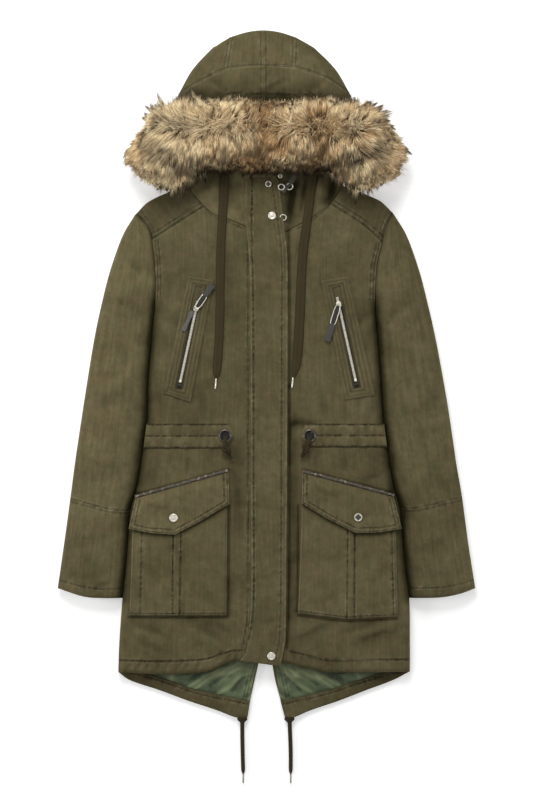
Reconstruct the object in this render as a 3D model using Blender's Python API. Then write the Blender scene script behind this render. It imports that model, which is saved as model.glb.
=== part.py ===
"""A fur trimmed parka, laid flat on its back with the hood turned over its collar.

Units in the tables are millimetres. X runs across the chest, Y from the hem up to the hood, Z up from
the surface that the coat lies on. "left" is the -X side and "right" the +X side. Padded cloth is a wall
of about 10 mm, and the front panels lie on the back ones. Panels that are sewn together share an outline
in OUTLINE, and each stays half a seam gap inside it.
"""
import math

import bpy
import numpy as np
from mathutils import Vector

MM = 0.001

# Heights of the layers
SEAM_GAP = 0.3
WALL = 10.0
TAIL_WALL = 5.0
TAIL_ROWS = 4
FRONT_LOW = WALL + SEAM_GAP
FRONT_TOP = 23.0
SLEEVE_SPLIT = 12.0
SLEEVE_TOP = 26.0
HOOD_TOP = 27.0
ON_FRONT = FRONT_TOP + SEAM_GAP
PLACKET_TOP = 27.5
POCKET_TOP = 30.0
FLAP_THICK = 3.0
EDGE_THICK = 1.6

# Rounded edges: the share of the rounding's width, and the share of its drop that is left there
ROUNDING = [
    dict(reach=0.30, drop=0.42),
    dict(reach=1.00, drop=0.00),
]
SIDE_ROUND = 12.0
FRONT_ROUND = 7.0
PLACKET_ROUND = 3.0
HOOD_ROUND = 24.0

# How a fold fades towards its ends, the least squared length of a corner's two summed edge directions,
# and the angle in degrees past which an edge is sharp
FOLD_FADE = 0.6
MITRE_LIMIT = 0.6
SHARP_ANGLE = 40

# Small parts
SNAP_HEIGHT = 2.4
CORD_HALF_THICK = 1.5
TIP_RADIUS = 1.7
HEM_CORD_RADIUS = 3.6
WAIST_CORD_RADIUS = 3.6
EYELET_RADIUS = 10.0
EYELET_WIRE = 1.8
PIPING_RADIUS = 2.6
PIPING_GAP = 0.4
CHANNEL_THICK = 2.0
FACING_THICK = 2.4
LINING_THICK = 2.2
ZIP_TAPE_THICK = 1.3
WELT_THICK = 1.7
SLIDER_HALF_WIDTH = 4.2
SLIDER_HALF_LENGTH = 4.0
SLIDER_FLOOR = 3.0
SLIDER_EAR = 7.2
BARREL_HALF_WIDTH = 2.3
BARREL_RADIUS = 1.8
BARREL_LIFT = SLIDER_FLOOR + 0.4 + BARREL_RADIUS

# The zip pull from behind its axis out to its end, each place with its half width and half thickness
PULL_BARREL = [
    dict(along=-1.7, half=BARREL_HALF_WIDTH, thick=0.5),
    dict(along=-1.2, half=BARREL_HALF_WIDTH, thick=1.3),
    dict(along=0.0, half=BARREL_HALF_WIDTH, thick=BARREL_RADIUS),
    dict(along=1.2, half=BARREL_HALF_WIDTH, thick=1.3),
    dict(along=2.2, half=BARREL_HALF_WIDTH, thick=0.8),
    dict(along=5.5, half=2.2, thick=0.8),
    dict(along=8.0, half=5.0, thick=0.8),
]
PULL_END = [
    dict(back=2.0, half=5.0, thick=0.8),
    dict(back=0.0, half=4.0, thick=0.8),
]
PULL_REST_LIFT = 1.0

# Outlines that two panels share, or that close one, each from its outer or upper end
OUTLINE = {
    "left": dict(
        shoulder=[(-214, 266), (-202, 279), (-191, 287), (-166, 299), (-131, 312)],
        armhole_yoke=[(-214, 266), (-197, 244), (-189, 221)],
        armhole=[(-189, 221), (-184, 175), (-184, 122)],
        crease=[(-184, 122), (-190, 59), (-196, -23), (-198, -82), (-204, -124), (-215, -188), (-225, -224)],
        crease_forearm=[(-225, -224), (-228, -262), (-232, -312), (-238, -370)],
        side=[(-238, -370), (-243, -439), (-245, -493)],
        yoke=[(-189, 221), (-166, 236), (-143, 251), (-122, 264), (-102, 276)],
        neck_yoke=[(-102, 276), (-116, 292), (-131, 312)],
        neck=[(-102, 276), (-83, 262), (-64, 256), (-35, 244), (0, 223)],
        back_neck=[(-131, 312), (-60, 292), (0, 288)],
        hood_edge=[(-131, 312), (-150, 345), (-158, 384)],
        collar_top=[(-158, 384), (-118, 380), (-76, 366), (-38, 356), (0, 350)],
        hem=[(-245, -493), (-167, -496), (-100, -492), (-64, -477), (-39, -474), (0, -475)],
        outer=[(-218, 262), (-238, 228), (-258, 172), (-271, 122), (-285, 56), (-301, -43),
               (-311, -109), (-317, -150), (-324, -204)],
        outer_forearm=[(-324, -204), (-334, -277), (-345, -354)],
        forearm_seam=[(-324, -204), (-289, -213), (-260, -221), (-225, -224)],
        cuff=[(-345, -354), (-304, -367), (-275, -370), (-238, -370)],
        tail_side=[(-238, -370), (-242, -428), (-243, -445), (-244, -460), (-244.6, -477), (-245, -493)],
        tail=[(-245, -493), (-225, -507), (-177, -523), (-131, -540), (-83, -556), (-51, -568), (-32, -568)],
        vent=[(-32, -568), (-26, -535), (-18, -500), (-8, -455), (-3, -428), (0, -370)],
        facing_top=[(-226, -486), (-191, -497), (-156, -508), (-123, -520), (-88, -528), (-55, -535), (-27, -541)],
        brim=[(-146, 461), (-118, 478), (-95, 490), (-68, 502)],
        hood_seam=[(-68, 502), (-64, 526), (-59, 557)],
        crown=[(-93, 535), (-82, 543), (-71, 550), (-59, 557)],
        hood_side=[(-146, 461), (-123, 502), (-93, 535)],
    ),
    "right": dict(
        shoulder=[(207, 268), (196, 279), (186, 287), (159, 299), (125, 312)],
        armhole_yoke=[(207, 268), (197, 244), (191, 216)],
        armhole=[(191, 216), (182, 175), (180, 119)],
        crease=[(180, 119), (184, 59), (190, -23), (194, -82), (200, -124), (211, -188), (220, -221)],
        crease_forearm=[(220, -221), (224, -262), (229, -312), (236, -370)],
        side=[(236, -370), (237, -439), (237, -492)],
        yoke=[(191, 216), (174, 233), (154, 249), (129, 265), (105, 280)],
        neck_yoke=[(105, 280), (116, 294), (125, 312)],
        neck=[(105, 280), (73, 257), (49, 244), (24, 231), (0, 223)],
        back_neck=[(125, 312), (60, 292), (0, 288)],
        hood_edge=[(125, 312), (143, 345), (150, 384)],
        collar_top=[(150, 384), (112, 380), (74, 366), (37, 356), (0, 350)],
        hem=[(237, -492), (164, -493), (105, -493), (73, -487), (35, -478), (0, -475)],
        outer=[(211, 263), (232, 228), (252, 172), (265, 122), (280, 56), (298, -43),
               (308, -109), (314, -150), (323, -202)],
        outer_forearm=[(323, -202), (333, -277), (345, -354)],
        forearm_seam=[(323, -202), (288, -210), (253, -218), (220, -221)],
        cuff=[(345, -354), (319, -363), (286, -369), (236, -370)],
        tail_side=[(236, -370), (237, -428), (237, -445), (237, -460), (237, -477), (237, -492)],
        tail=[(237, -492), (208, -507), (165, -523), (121, -540), (74, -556), (45, -568), (31, -568)],
        vent=[(31, -568), (22, -535), (13, -500), (6, -455), (2, -428), (0, -370)],
        facing_top=[(216, -486), (181, -497), (146, -508), (111, -520), (80, -528), (50, -535), (23, -541)],
        brim=[(139, 461), (117, 477), (94, 490), (45, 506)],
        hood_seam=[(45, 506), (46, 531), (47, 557)],
        crown=[(83, 535), (72, 543), (60, 550), (47, 557)],
        hood_side=[(139, 461), (115, 502), (83, 535)],
    ),
}
HOOD_CENTRE_FRONT = [(-68, 502), (-34, 507), (-4, 508), (22, 507), (45, 506)]
HOOD_CENTRE_CROWN = [(-59, 557), (-32, 565), (-6, 568), (21, 565), (47, 557)]
BRIM_LOWER = [(-158, 386), (-75, 386), (0, 386), (75, 386), (150, 386)]
BRIM_LEFT = [(-158, 386), (-155, 430), (-146, 461)]
BRIM_RIGHT = [(150, 386), (149, 430), (139, 461)]
PLACKET_LEFT = [(-44, -473), (-34, -452), (-26, -373), (-26, -158), (-27, 122), (-30, 201), (-35, 259), (-35, 329)]
PLACKET_RIGHT = [(23, -482), (30, -447), (32, -409), (34, -158), (35, 122), (34, 201), (27, 262), (20, 318)]
PLACKET_HEAD = [(-35, 329), (-12, 330), (10, 330), (20, 318)]

# Fur roll: upper and lower edge of the roll at each station, and its height there; the far half mirrors it
FUR_MIDDLE = -1.0
FUR = [
    dict(upper=(-221, 354), lower=(-211, 336), height=14),
    dict(upper=(-224, 376), lower=(-194, 317), height=34),
    dict(upper=(-214, 406), lower=(-168, 299), height=50),
    dict(upper=(-197, 431), lower=(-141, 299), height=58),
    dict(upper=(-166, 447), lower=(-113, 318), height=62),
    dict(upper=(-110, 451), lower=(-83, 331), height=62),
    dict(upper=(-55, 454), lower=(-45, 332), height=60),
    dict(upper=(-1, 455), lower=(-1, 332), height=60),
]
FUR_STATIONS = 25
FUR_SIDES = 12

# The share of its height where the roll is widest, and how much sooner its underside reaches the hood
FUR_WIDEST = 0.42
FUR_FLATTENING = 1.3

# Folds that stand out or sink in: their two ends, height (negative sinks) and half width
SLEEVE_FOLDS = {
    "left": [
        dict(start=(-262, 120), end=(-190, 90), height=-2.4, width=16),
        dict(start=(-280, 40), end=(-200, 70), height=1.8, width=20),
        dict(start=(-300, -60), end=(-215, -20), height=-2.4, width=18),
        dict(start=(-305, -130), end=(-225, -150), height=1.8, width=20),
        dict(start=(-320, -285), end=(-240, -255), height=-2.0, width=18),
    ],
    "right": [
        dict(start=(256, 130), end=(192, 80), height=-2.4, width=16),
        dict(start=(275, 30), end=(200, 50), height=1.8, width=20),
        dict(start=(292, -40), end=(215, -75), height=-2.4, width=18),
        dict(start=(300, -120), end=(225, -165), height=1.8, width=20),
        dict(start=(318, -270), end=(240, -300), height=-2.0, width=18),
    ],
}

FRONT_FOLDS = {
    "left": [
        dict(start=(-192, 108), end=(-128, 62), height=-2.6, width=15),
        dict(start=(-62, 215), end=(-48, 40), height=-1.6, width=18),
        dict(start=(-178, 0), end=(-170, -84), height=-2.4, width=10),
        dict(start=(-142, -34), end=(-146, -84), height=-2.0, width=8),
        dict(start=(-108, -30), end=(-104, -84), height=-2.2, width=10),
        dict(start=(-176, -122), end=(-188, -196), height=-2.4, width=11),
        dict(start=(-138, -122), end=(-130, -180), height=-2.2, width=10),
        dict(start=(-92, -122), end=(-84, -172), height=-2.4, width=10),
        dict(start=(-240, -415), end=(-150, -440), height=-2.0, width=14),
        dict(start=(-140, -410), end=(-52, -450), height=-2.4, width=14),
    ],
    "right": [
        dict(start=(188, 112), end=(140, 78), height=-2.6, width=15),
        dict(start=(78, 200), end=(72, 20), height=-1.6, width=18),
        dict(start=(182, -14), end=(172, -84), height=-2.2, width=10),
        dict(start=(128, -40), end=(134, -84), height=-2.4, width=9),
        dict(start=(92, -20), end=(98, -84), height=-2.0, width=10),
        dict(start=(172, -122), end=(184, -190), height=-2.2, width=11),
        dict(start=(130, -122), end=(124, -176), height=-2.4, width=10),
        dict(start=(84, -122), end=(80, -168), height=-2.0, width=9),
        dict(start=(230, -425), end=(140, -448), height=-2.4, width=14),
        dict(start=(120, -412), end=(48, -440), height=-2.0, width=13),
    ],
}

# Chest pockets, corners from the lower outer one round to the upper outer one; the slider and its pull's end
CHEST = {
    "left": dict(outer=[(-170, -32), (-125, -47), (-87, 155), (-129, 162)],
                 inner=[(-153, -24), (-136, -26), (-104, 142), (-120, 145)],
                 slider=(-116, 108), pull_end=(-89, 147)),
    "right": dict(outer=[(130, -43), (179, -35), (134, 161), (90, 154)],
                  inner=[(141, -25), (158, -21), (124, 146), (106, 140)],
                  slider=(119, 115), pull_end=(100, 54)),
}

# Hip pockets: the bag's edges from the outer side inward, and the flap's
HIP = {
    "left": dict(bottom=[(-226, -397), (-209, -398), (-155, -398), (-154, -398), (-144, -398),
                         (-143, -398), (-66, -398)],
                 top=[(-220, -223), (-204, -219), (-153, -205), (-152, -204), (-141, -202),
                      (-140, -201), (-64, -181)],
                 flap_low=[(-227, -255), (-191, -262), (-151, -265), (-106, -241), (-61, -214)],
                 flap_high=[(-216, -205), (-63, -162)], snap=(-153, -237)),
    "right": dict(bottom=[(217, -400), (209, -400), (144, -403), (143, -403), (134, -404),
                          (133, -404), (52, -394)],
                  top=[(213, -223), (205, -221), (146, -205), (145, -204), (135, -202),
                       (134, -202), (60, -182)],
                  flap_low=[(223, -255), (186, -261), (147, -262), (101, -239), (58, -213)],
                  flap_high=[(210, -203), (59, -163)], snap=(151, -236)),
}
FLAP_SLOPE = 15.0
PLEAT_LIFT = 1.2

# Waist channel: its edges from the outer side inward, and the eyelet's middle
WAIST = {
    "left": dict(low=[(-203, -123), (-66, -123)], high=[(-198, -82), (-62, -82)],
                 tip=(-54, -102), eyelet=(-68, -102),
                 cord=[(-68, -104, 32.5), (-68, -112, 35.6), (-67, -120, 34.4), (-64, -129, 30.2), (-58, -140, 27.3)]),
    "right": dict(low=[(199, -121), (66, -121)], high=[(194, -82), (64, -82)],
                  tip=(57, -102), eyelet=(71, -102),
                  cord=[(71, -104, 32.5), (69, -112, 35.6), (66, -120, 34.4), (62, -128, 30.2), (58, -137, 27.3)]),
}
CHANNEL_LIFT = [0.0, 1.2, 0.0, 1.2, 0.0]

# Snaps on the placket and the hip flaps, and the ring of the neck tab
PLACKET_SNAPS = {
    "top": dict(x=3, y=313, radius=5.4),
    "neck": dict(x=9, y=261, radius=6.4),
    "hem": dict(x=8, y=-465, radius=6.6),
}
HIP_SNAP_RADIUS = 7.0
NECK_RING = dict(x=38, y=309, radius=5.2, wire=0.9)

# Flat hood cords, from the collar down, with the half width at each point
HOOD_CORD = {
    "left": [
        dict(x=-69, y=333, half=8.0),
        dict(x=-71, y=290, half=7.6),
        dict(x=-74, y=235, half=7.2),
        dict(x=-76, y=185, half=7.2),
        dict(x=-77, y=101, half=7.2),
        dict(x=-79, y=46, half=7.2),
        dict(x=-82, y=8, half=7.2),
        dict(x=-83, y=-7, half=2.6),
    ],
    "right": [
        dict(x=77, y=333, half=8.0),
        dict(x=73, y=300, half=7.2),
        dict(x=66, y=246, half=7.2),
        dict(x=59, y=188, half=7.6),
        dict(x=55, y=101, half=8.0),
        dict(x=52, y=46, half=8.0),
        dict(x=49, y=16, half=7.2),
        dict(x=44, y=-5, half=2.8),
    ],
}
HOOD_TIP = {
    "left": ((-83.1, -7.5), (-84.5, -25)),
    "right": ((43.6, -5.5), (42, -23)),
}
HEM_CORD = {
    "left": [(-40, -568.2), (-40, -595), (-39.5, -625), (-38.5, -661)],
    "right": [(38, -568.2), (39, -595), (40, -625), (40, -661)],
}
HEM_TIP_LENGTH = 16.0

# The facing stays this far inside the tail's edge, and its two lower corners this far from its upper ones
FACING_MARGIN = (2.0, 1.5)
FACING_OUTER_CORNER = (6.0, -8.0)
FACING_INNER_CORNER = (0.5, 1.2)
LINING_TOP_Y = -469.0
LINING_VENT_X = 11.0
LINING_BEND = (5.5, -505.0)

MATERIALS = {
    "shell": dict(colour=(0.105, 0.092, 0.045), roughness=0.9, metallic=0.0),
    "lining": dict(colour=(0.09, 0.14, 0.075), roughness=0.6, metallic=0.0),
    "fur": dict(colour=(0.33, 0.24, 0.13), roughness=0.9, metallic=0.0),
    "cord": dict(colour=(0.045, 0.035, 0.022), roughness=0.8, metallic=0.0),
    "metal": dict(colour=(0.62, 0.60, 0.55), roughness=0.3, metallic=1.0),
    "dark_metal": dict(colour=(0.12, 0.12, 0.12), roughness=0.35, metallic=1.0),
    "leather": dict(colour=(0.08, 0.08, 0.08), roughness=0.5, metallic=0.0),
    "tape": dict(colour=(0.06, 0.055, 0.035), roughness=0.8, metallic=0.0),
}


def clear_scene():
    """Remove the objects that are already in the scene."""
    for thing in list(bpy.data.objects):
        bpy.data.objects.remove(thing, do_unlink=True)


def material(name):
    """The named material, made once."""
    found = bpy.data.materials.get(name)
    if found:
        return found
    look = MATERIALS[name]
    made = bpy.data.materials.new(name)
    made.use_nodes = True
    shader = made.node_tree.nodes["Principled BSDF"]
    shader.inputs["Base Color"].default_value = (*look["colour"], 1.0)
    shader.inputs["Roughness"].default_value = look["roughness"]
    shader.inputs["Metallic"].default_value = look["metallic"]
    return made


def add_object(name, points, faces, look, origin=(0.0, 0.0, 0.0)):
    """One solid from points in millimetres, with its origin where asked."""
    mesh = bpy.data.meshes.new(name)
    start = Vector(origin)
    mesh.from_pydata([tuple((Vector(p) - start) * MM) for p in points], [], faces)
    mesh.materials.append(material(look))
    mesh.shade_smooth()
    mesh.set_sharp_from_angle(angle=math.radians(SHARP_ANGLE))
    thing = bpy.data.objects.new(name, mesh)
    thing.location = start * MM
    thing.parent = bpy.data.objects["parka"]
    bpy.context.scene.collection.objects.link(thing)
    return thing


# Outlines

def chain(side, *names):
    """The named outlines of one side joined end to end."""
    joined = []
    for name in names:
        run = OUTLINE[side][name]
        joined += run if not joined else run[1:]
    return joined


def split(points, parts=2):
    """The same outline with each of its straight runs cut into equal parts."""
    finer = []
    for (x0, y0), (x1, y1) in zip(points, points[1:]):
        finer += [(x0 + (x1 - x0) * k / parts, y0 + (y1 - y0) * k / parts) for k in range(parts)]
    return finer + [points[-1]]


def spread(points, count, fine=12):
    """Evenly spaced points on a smooth curve through the given ones, of any dimension."""
    given = np.array(points, float)
    padded = np.vstack([2 * given[0] - given[1], given, 2 * given[-1] - given[-2]])
    dense = []
    for k in range(1, len(padded) - 2):
        a, b, c, d = padded[k - 1:k + 3]
        for t in np.linspace(0, 1, fine, endpoint=False):
            dense.append(0.5 * (2 * b + (c - a) * t + (2 * a - 5 * b + 4 * c - d) * t ** 2
                                + (3 * b - a - 3 * c + d) * t ** 3))
    dense = np.array(dense + [given[-1]])
    run = np.concatenate([[0], np.cumsum(np.linalg.norm(np.diff(dense, axis=0), axis=1))])
    places = np.linspace(0, run[-1], count)
    return [tuple(np.interp(p, run, column) for column in dense.T) for p in places]


def inset(loop, gap):
    """The closed anticlockwise outline moved inward by the gap."""
    moved = []
    for k, here in enumerate(loop):
        before = (here - loop[k - 1]).normalized()
        after = (loop[(k + 1) % len(loop)] - here).normalized()
        inward = Vector((-before.y - after.y, before.x + after.x))
        moved.append(here + inward * (2 * gap / max(inward.length_squared, MITRE_LIMIT)))
    return moved


# Panels

def share(points):
    """How far along the outline each of its points lies, from 0 to 1."""
    steps = np.linalg.norm(np.diff(points, axis=0), axis=1)
    run = np.concatenate([[0], np.cumsum(steps)])
    return run / run[-1]


def net(bottom, right, top, left, gap):
    """A grid of points between four outlines: rows from bottom to top, columns from left to right."""
    loop = [Vector(p) for p in list(bottom) + list(right)[1:] + list(top)[-2::-1] + list(left)[-2:0:-1]]
    loop = [np.array(p) for p in inset(loop, gap)]
    columns, rows = len(bottom), len(left)
    low = np.array(loop[:columns])
    east = np.array(loop[columns - 1:columns + rows - 1])
    high = np.array(loop[columns + rows - 2:2 * columns + rows - 2])[::-1]
    west = np.array((loop + loop[:1])[2 * columns + rows - 3:])[::-1]
    u = ((share(low) + share(high)) / 2)[None, :, None]
    v = ((share(west) + share(east)) / 2)[:, None, None]
    across = (1 - u) * west[:, None] + u * east[:, None]
    along = (1 - v) * low[None] + v * high[None]
    corners = ((1 - u) * (1 - v) * low[0] + u * (1 - v) * low[-1]
               + (1 - u) * v * high[0] + u * v * high[-1])
    return across + along - corners


def round_side(points, edge, side, width):
    """Add lines of points along one side where its rounding bends, and mark the drop left at each.

    A point holds x, y and its own lift.
    """
    turned = side in ("bottom", "top")
    if turned:
        points, edge = points.swapaxes(0, 1), edge.T
    if side in ("right", "top"):
        points, edge = points[:, ::-1], edge[:, ::-1]
    first, second = points[:, 0], points[:, 1]
    span = np.linalg.norm(second[:, :2] - first[:, :2], axis=1)
    lines, drops = [points[:, :1]], [np.ones((len(points), 1))]
    for bend in ROUNDING:
        part = np.minimum(width * bend["reach"] / span, 0.9 * bend["reach"])[:, None]
        lines.append((first + (second - first) * part)[:, None])
        kept = edge[:, 0] * (1 - part[:, 0]) + edge[:, 1] * part[:, 0]
        drops.append(np.maximum(kept, bend["drop"])[:, None])
    points = np.concatenate(lines + [points[:, 1:]], axis=1)
    edge = np.concatenate(drops + [edge[:, 1:]], axis=1)
    if side in ("right", "top"):
        points, edge = points[:, ::-1], edge[:, ::-1]
    if turned:
        points, edge = points.swapaxes(0, 1), edge.T
    return points, edge


def slab(name, plan, low, high, look):
    """The closed solid between two heights over a grid of points."""
    rows, columns = low.shape
    flat = plan[..., :2].reshape(-1, 2)
    count = rows * columns
    points = [(x, y, z) for (x, y), z in zip(flat, low.ravel())]
    points += [(x, y, z) for (x, y), z in zip(flat, high.ravel())]
    faces = []
    for j in range(rows - 1):
        for i in range(columns - 1):
            a, b = j * columns + i, j * columns + i + 1
            c, d = b + columns, a + columns
            faces += [(a + count, b + count, c + count, d + count), (d, c, b, a)]
    rim = list(range(columns)) + [j * columns + columns - 1 for j in range(1, rows)]
    rim += [(rows - 1) * columns + i for i in range(columns - 2, -1, -1)]
    rim += [j * columns for j in range(rows - 2, 0, -1)]
    for k, a in enumerate(rim):
        b = rim[(k + 1) % len(rim)]
        faces.append((a, b, b + count, a + count))
    return add_object(name, points, faces, look)


def panel(name, side, bottom, inner, top, outer, low, high, look="shell", rounded=(), width=SIDE_ROUND,
          turned="top", lift=0.0, fall=0.0, gap=SEAM_GAP / 2):
    """A cloth panel of one side; bottom and top run inward, inner and outer run upward.

    low and high are heights or functions of x and y, and lift adds to the upper face at each grid point.
    At a rounded edge the top or the bottom face, as turned says, closes in on the other one, or with
    "both" the whole wall falls.
    """
    places = dict(inner="right", outer="left", bottom="bottom", top="top")
    if side == "right":
        places.update(inner="left", outer="right")
        bottom, top = bottom[::-1], top[::-1]
        inner, outer = outer, inner
    plan = net(bottom, inner, top, outer, gap)
    plan = np.dstack([plan, np.broadcast_to(lift, plan.shape[:2])])
    edge = np.zeros(plan.shape[:2])
    for key in rounded:
        plan, edge = round_side(plan, edge, places[key], width)
    x, y = plan[..., 0], plan[..., 1]
    below = low(x, y) if callable(low) else np.full(x.shape, float(low))
    above = (high(x, y) if callable(high) else high) + plan[..., 2]
    closing = edge * (above - below - EDGE_THICK)
    if turned == "top":
        above = above - closing
    elif turned == "bottom":
        below = below + closing
    else:
        below, above = below - fall * edge, above - fall * edge
    return slab(name, plan, below, above, look)


def folds(table, base):
    """A height that rises and sinks along the table's folds."""
    def height(x, y):
        total = np.full(x.shape, base)
        for fold in table:
            start, end = np.array(fold["start"], float), np.array(fold["end"], float)
            run = end - start
            along = ((x - start[0]) * run[0] + (y - start[1]) * run[1]) / (run @ run)
            away = ((x - start[0]) * -run[1] + (y - start[1]) * run[0]) / np.linalg.norm(run)
            fade = np.sin(np.pi * np.clip(along, 0, 1)) ** FOLD_FADE
            total = total + fold["height"] * fade * np.exp(-(away / fold["width"]) ** 2)
        return total
    return height


def straight(start, end, count):
    """Evenly spaced points on a straight run."""
    return split([start, end], count - 1)


# Rings and lofts

def loft(name, rings, look, origin=(0.0, 0.0, 0.0)):
    """A closed solid through rings of points, each anticlockwise as seen from its far end."""
    sides = len(rings[0])
    points = [p for ring in rings for p in ring]
    faces = [tuple(range(sides))[::-1]]
    for k in range(len(rings) - 1):
        for i in range(sides):
            a, b = k * sides + i, k * sides + (i + 1) % sides
            faces.append((a, b, b + sides, a + sides))
    last = (len(rings) - 1) * sides
    faces.append(tuple(range(last, last + sides)))
    return add_object(name, points, faces, look, origin)


def tube(name, route, radius, look, resolution=2):
    """A round cord: a poly curve with a bevel and filled caps, along points in millimetres."""
    curve = bpy.data.curves.new(name, "CURVE")
    curve.dimensions = "3D"
    curve.bevel_depth = radius * MM
    curve.bevel_resolution = resolution
    curve.use_fill_caps = True
    spline = curve.splines.new("POLY")
    spline.points.add(len(route) - 1)
    for place, point in zip(spline.points, route):
        place.co = (*(c * MM for c in point), 1.0)
    curve.materials.append(material(look))
    thing = bpy.data.objects.new(name, curve)
    thing.parent = bpy.data.objects["parka"]
    bpy.context.scene.collection.objects.link(thing)
    return thing


def stud(name, x, y, z, radius, height, look, sides=12):
    """A turned snap cap with a soft shoulder."""
    profile = [(radius, 0.0), (radius, 0.45 * height), (0.8 * radius, height)]
    rings = []
    for r, up in profile:
        angles = [2 * math.pi * k / sides for k in range(sides)]
        rings.append([(x + r * math.cos(a), y + r * math.sin(a), z + up) for a in angles])
    return loft(name, rings, look)


def torus(name, centre, major, minor, look, sides=20, wire_sides=6):
    """A round ring lying flat."""
    points, faces = [], []
    for k in range(sides):
        turn = 2 * math.pi * k / sides
        for i in range(wire_sides):
            roll = 2 * math.pi * i / wire_sides
            reach = major + minor * math.cos(roll)
            points.append((centre[0] + reach * math.cos(turn), centre[1] + reach * math.sin(turn),
                           centre[2] + minor * math.sin(roll)))
            a, b = k * wire_sides + i, k * wire_sides + (i + 1) % wire_sides
            c, d = (((k + 1) % sides) * wire_sides + j for j in ((i + 1) % wire_sides, i))
            faces.append((d, c, b, a))
    return add_object(name, points, faces, look)


# The coat's pieces

def backs():
    """The two back panels, joined down the middle, each ending in one tail of the fishtail hem."""
    for side in ("left", "right"):
        outer = chain(side, "armhole_yoke", "armhole", "crease", "crease_forearm", "tail_side")[::-1]
        vent = chain(side, "vent")
        middle = vent + straight(vent[-1], (0, 288), len(outer) - len(vent) + 1)[1:]
        thinner = np.zeros((len(outer), 1))
        thinner[:TAIL_ROWS] = TAIL_WALL - WALL
        panel(f"back_{side}", side, chain(side, "tail"), middle, chain(side, "shoulder", "back_neck"), outer,
              0.0, WALL, rounded=("outer",), turned="bottom", lift=thinner)


def linings():
    """The green lining and the hem facing that show on the inside of the tails."""
    low = TAIL_WALL + SEAM_GAP
    for side in ("left", "right"):
        sign = -1 if side == "left" else 1
        tail = chain(side, "tail")
        edge = chain(side, "facing_top")
        hem = [(x - sign * FACING_MARGIN[0], y + FACING_MARGIN[1]) for x, y in tail]
        hem[0] = (edge[0][0] + sign * FACING_OUTER_CORNER[0], edge[0][1] + FACING_OUTER_CORNER[1])
        hem[-1] = (tail[-1][0] - sign * FACING_INNER_CORNER[0], tail[-1][1] + FACING_INNER_CORNER[1])
        panel(f"hem_facing_{side}", side, hem, straight(hem[-1], edge[-1], 3), edge,
              straight(hem[0], edge[0], 3), low, low + FACING_THICK)
        top = straight((edge[0][0], LINING_TOP_Y), (sign * LINING_VENT_X, LINING_TOP_Y), len(edge))
        vent = [edge[-1], (edge[-1][0] - sign * LINING_BEND[0], LINING_BEND[1]), top[-1]]
        panel(f"lining_{side}", side, edge, vent, top, straight(edge[0], top[0], 3), low, low + LINING_THICK,
              "lining")


def fronts():
    """The two front panels, from the hem up to the yoke and neck seams; they meet under the placket."""
    for side in ("left", "right"):
        outer = split(chain(side, "armhole", "crease", "crease_forearm", "side")[::-1])
        top = split(chain(side, "yoke", "neck"))
        hem = spread(chain(side, "hem"), len(top))
        middle = straight(hem[-1], (0, 223), len(outer))
        panel(f"front_{side}", side, hem, middle, top, outer, FRONT_LOW, folds(FRONT_FOLDS[side], FRONT_TOP),
              rounded=("outer", "bottom"), width=FRONT_ROUND)


def yokes():
    """The shoulder yokes between the front seam and the shoulder's edge."""
    for side in ("left", "right"):
        panel(f"yoke_{side}", side, chain(side, "yoke"), chain(side, "neck_yoke"),
              chain(side, "shoulder"), chain(side, "armhole_yoke")[::-1], FRONT_LOW, FRONT_TOP,
              rounded=("top",), width=FRONT_ROUND)


def sleeves():
    """Each sleeve: an upper piece and a forearm piece on top, and one piece underneath."""
    for side in ("left", "right"):
        height = folds(SLEEVE_FOLDS[side], SLEEVE_TOP)
        inner = split(chain(side, "armhole_yoke", "armhole", "crease")[::-1])
        outer = chain(side, "outer")
        seam = split(chain(side, "forearm_seam"))
        head = [outer[0], inner[-1]]
        panel(f"sleeve_upper_{side}", side, seam, inner, straight(*head, len(seam)),
              spread(outer, len(inner))[::-1], SLEEVE_SPLIT + SEAM_GAP, height,
              rounded=("outer", "inner"))
        inner = split(chain(side, "crease_forearm"))[::-1]
        panel(f"sleeve_forearm_{side}", side, split(chain(side, "cuff")), inner, seam,
              spread(chain(side, "outer_forearm"), len(inner))[::-1], SLEEVE_SPLIT + SEAM_GAP, height,
              rounded=("outer", "inner"))
        inner = chain(side, "armhole_yoke", "armhole", "crease", "crease_forearm")[::-1]
        outer = spread(chain(side, "outer", "outer_forearm"), len(inner))[::-1]
        cuff = chain(side, "cuff")
        panel(f"sleeve_under_{side}", side, cuff, inner, straight(*head, len(cuff)), outer,
              0.0, SLEEVE_SPLIT, rounded=("outer", "inner"), turned="bottom")


def collars():
    """The lower front of the hood, which stands on the neck seam and runs up under the fur."""
    for side in ("left", "right"):
        outer = chain(side, "neck_yoke", "hood_edge")
        middle = straight((0, 223), (0, 350), len(outer))
        panel(f"collar_{side}", side, chain(side, "neck"), middle, chain(side, "collar_top"), outer,
              FRONT_LOW, FRONT_TOP)


def placket():
    """The storm placket over the front zip."""
    rows = len(PLACKET_LEFT)
    head = spread(PLACKET_HEAD, 4)
    foot = straight(PLACKET_LEFT[0], PLACKET_RIGHT[0], 4)
    panel("placket", "left", foot, PLACKET_RIGHT[:rows], head, PLACKET_LEFT, ON_FRONT, PLACKET_TOP,
          rounded=("outer", "inner"), width=PLACKET_ROUND)


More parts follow.
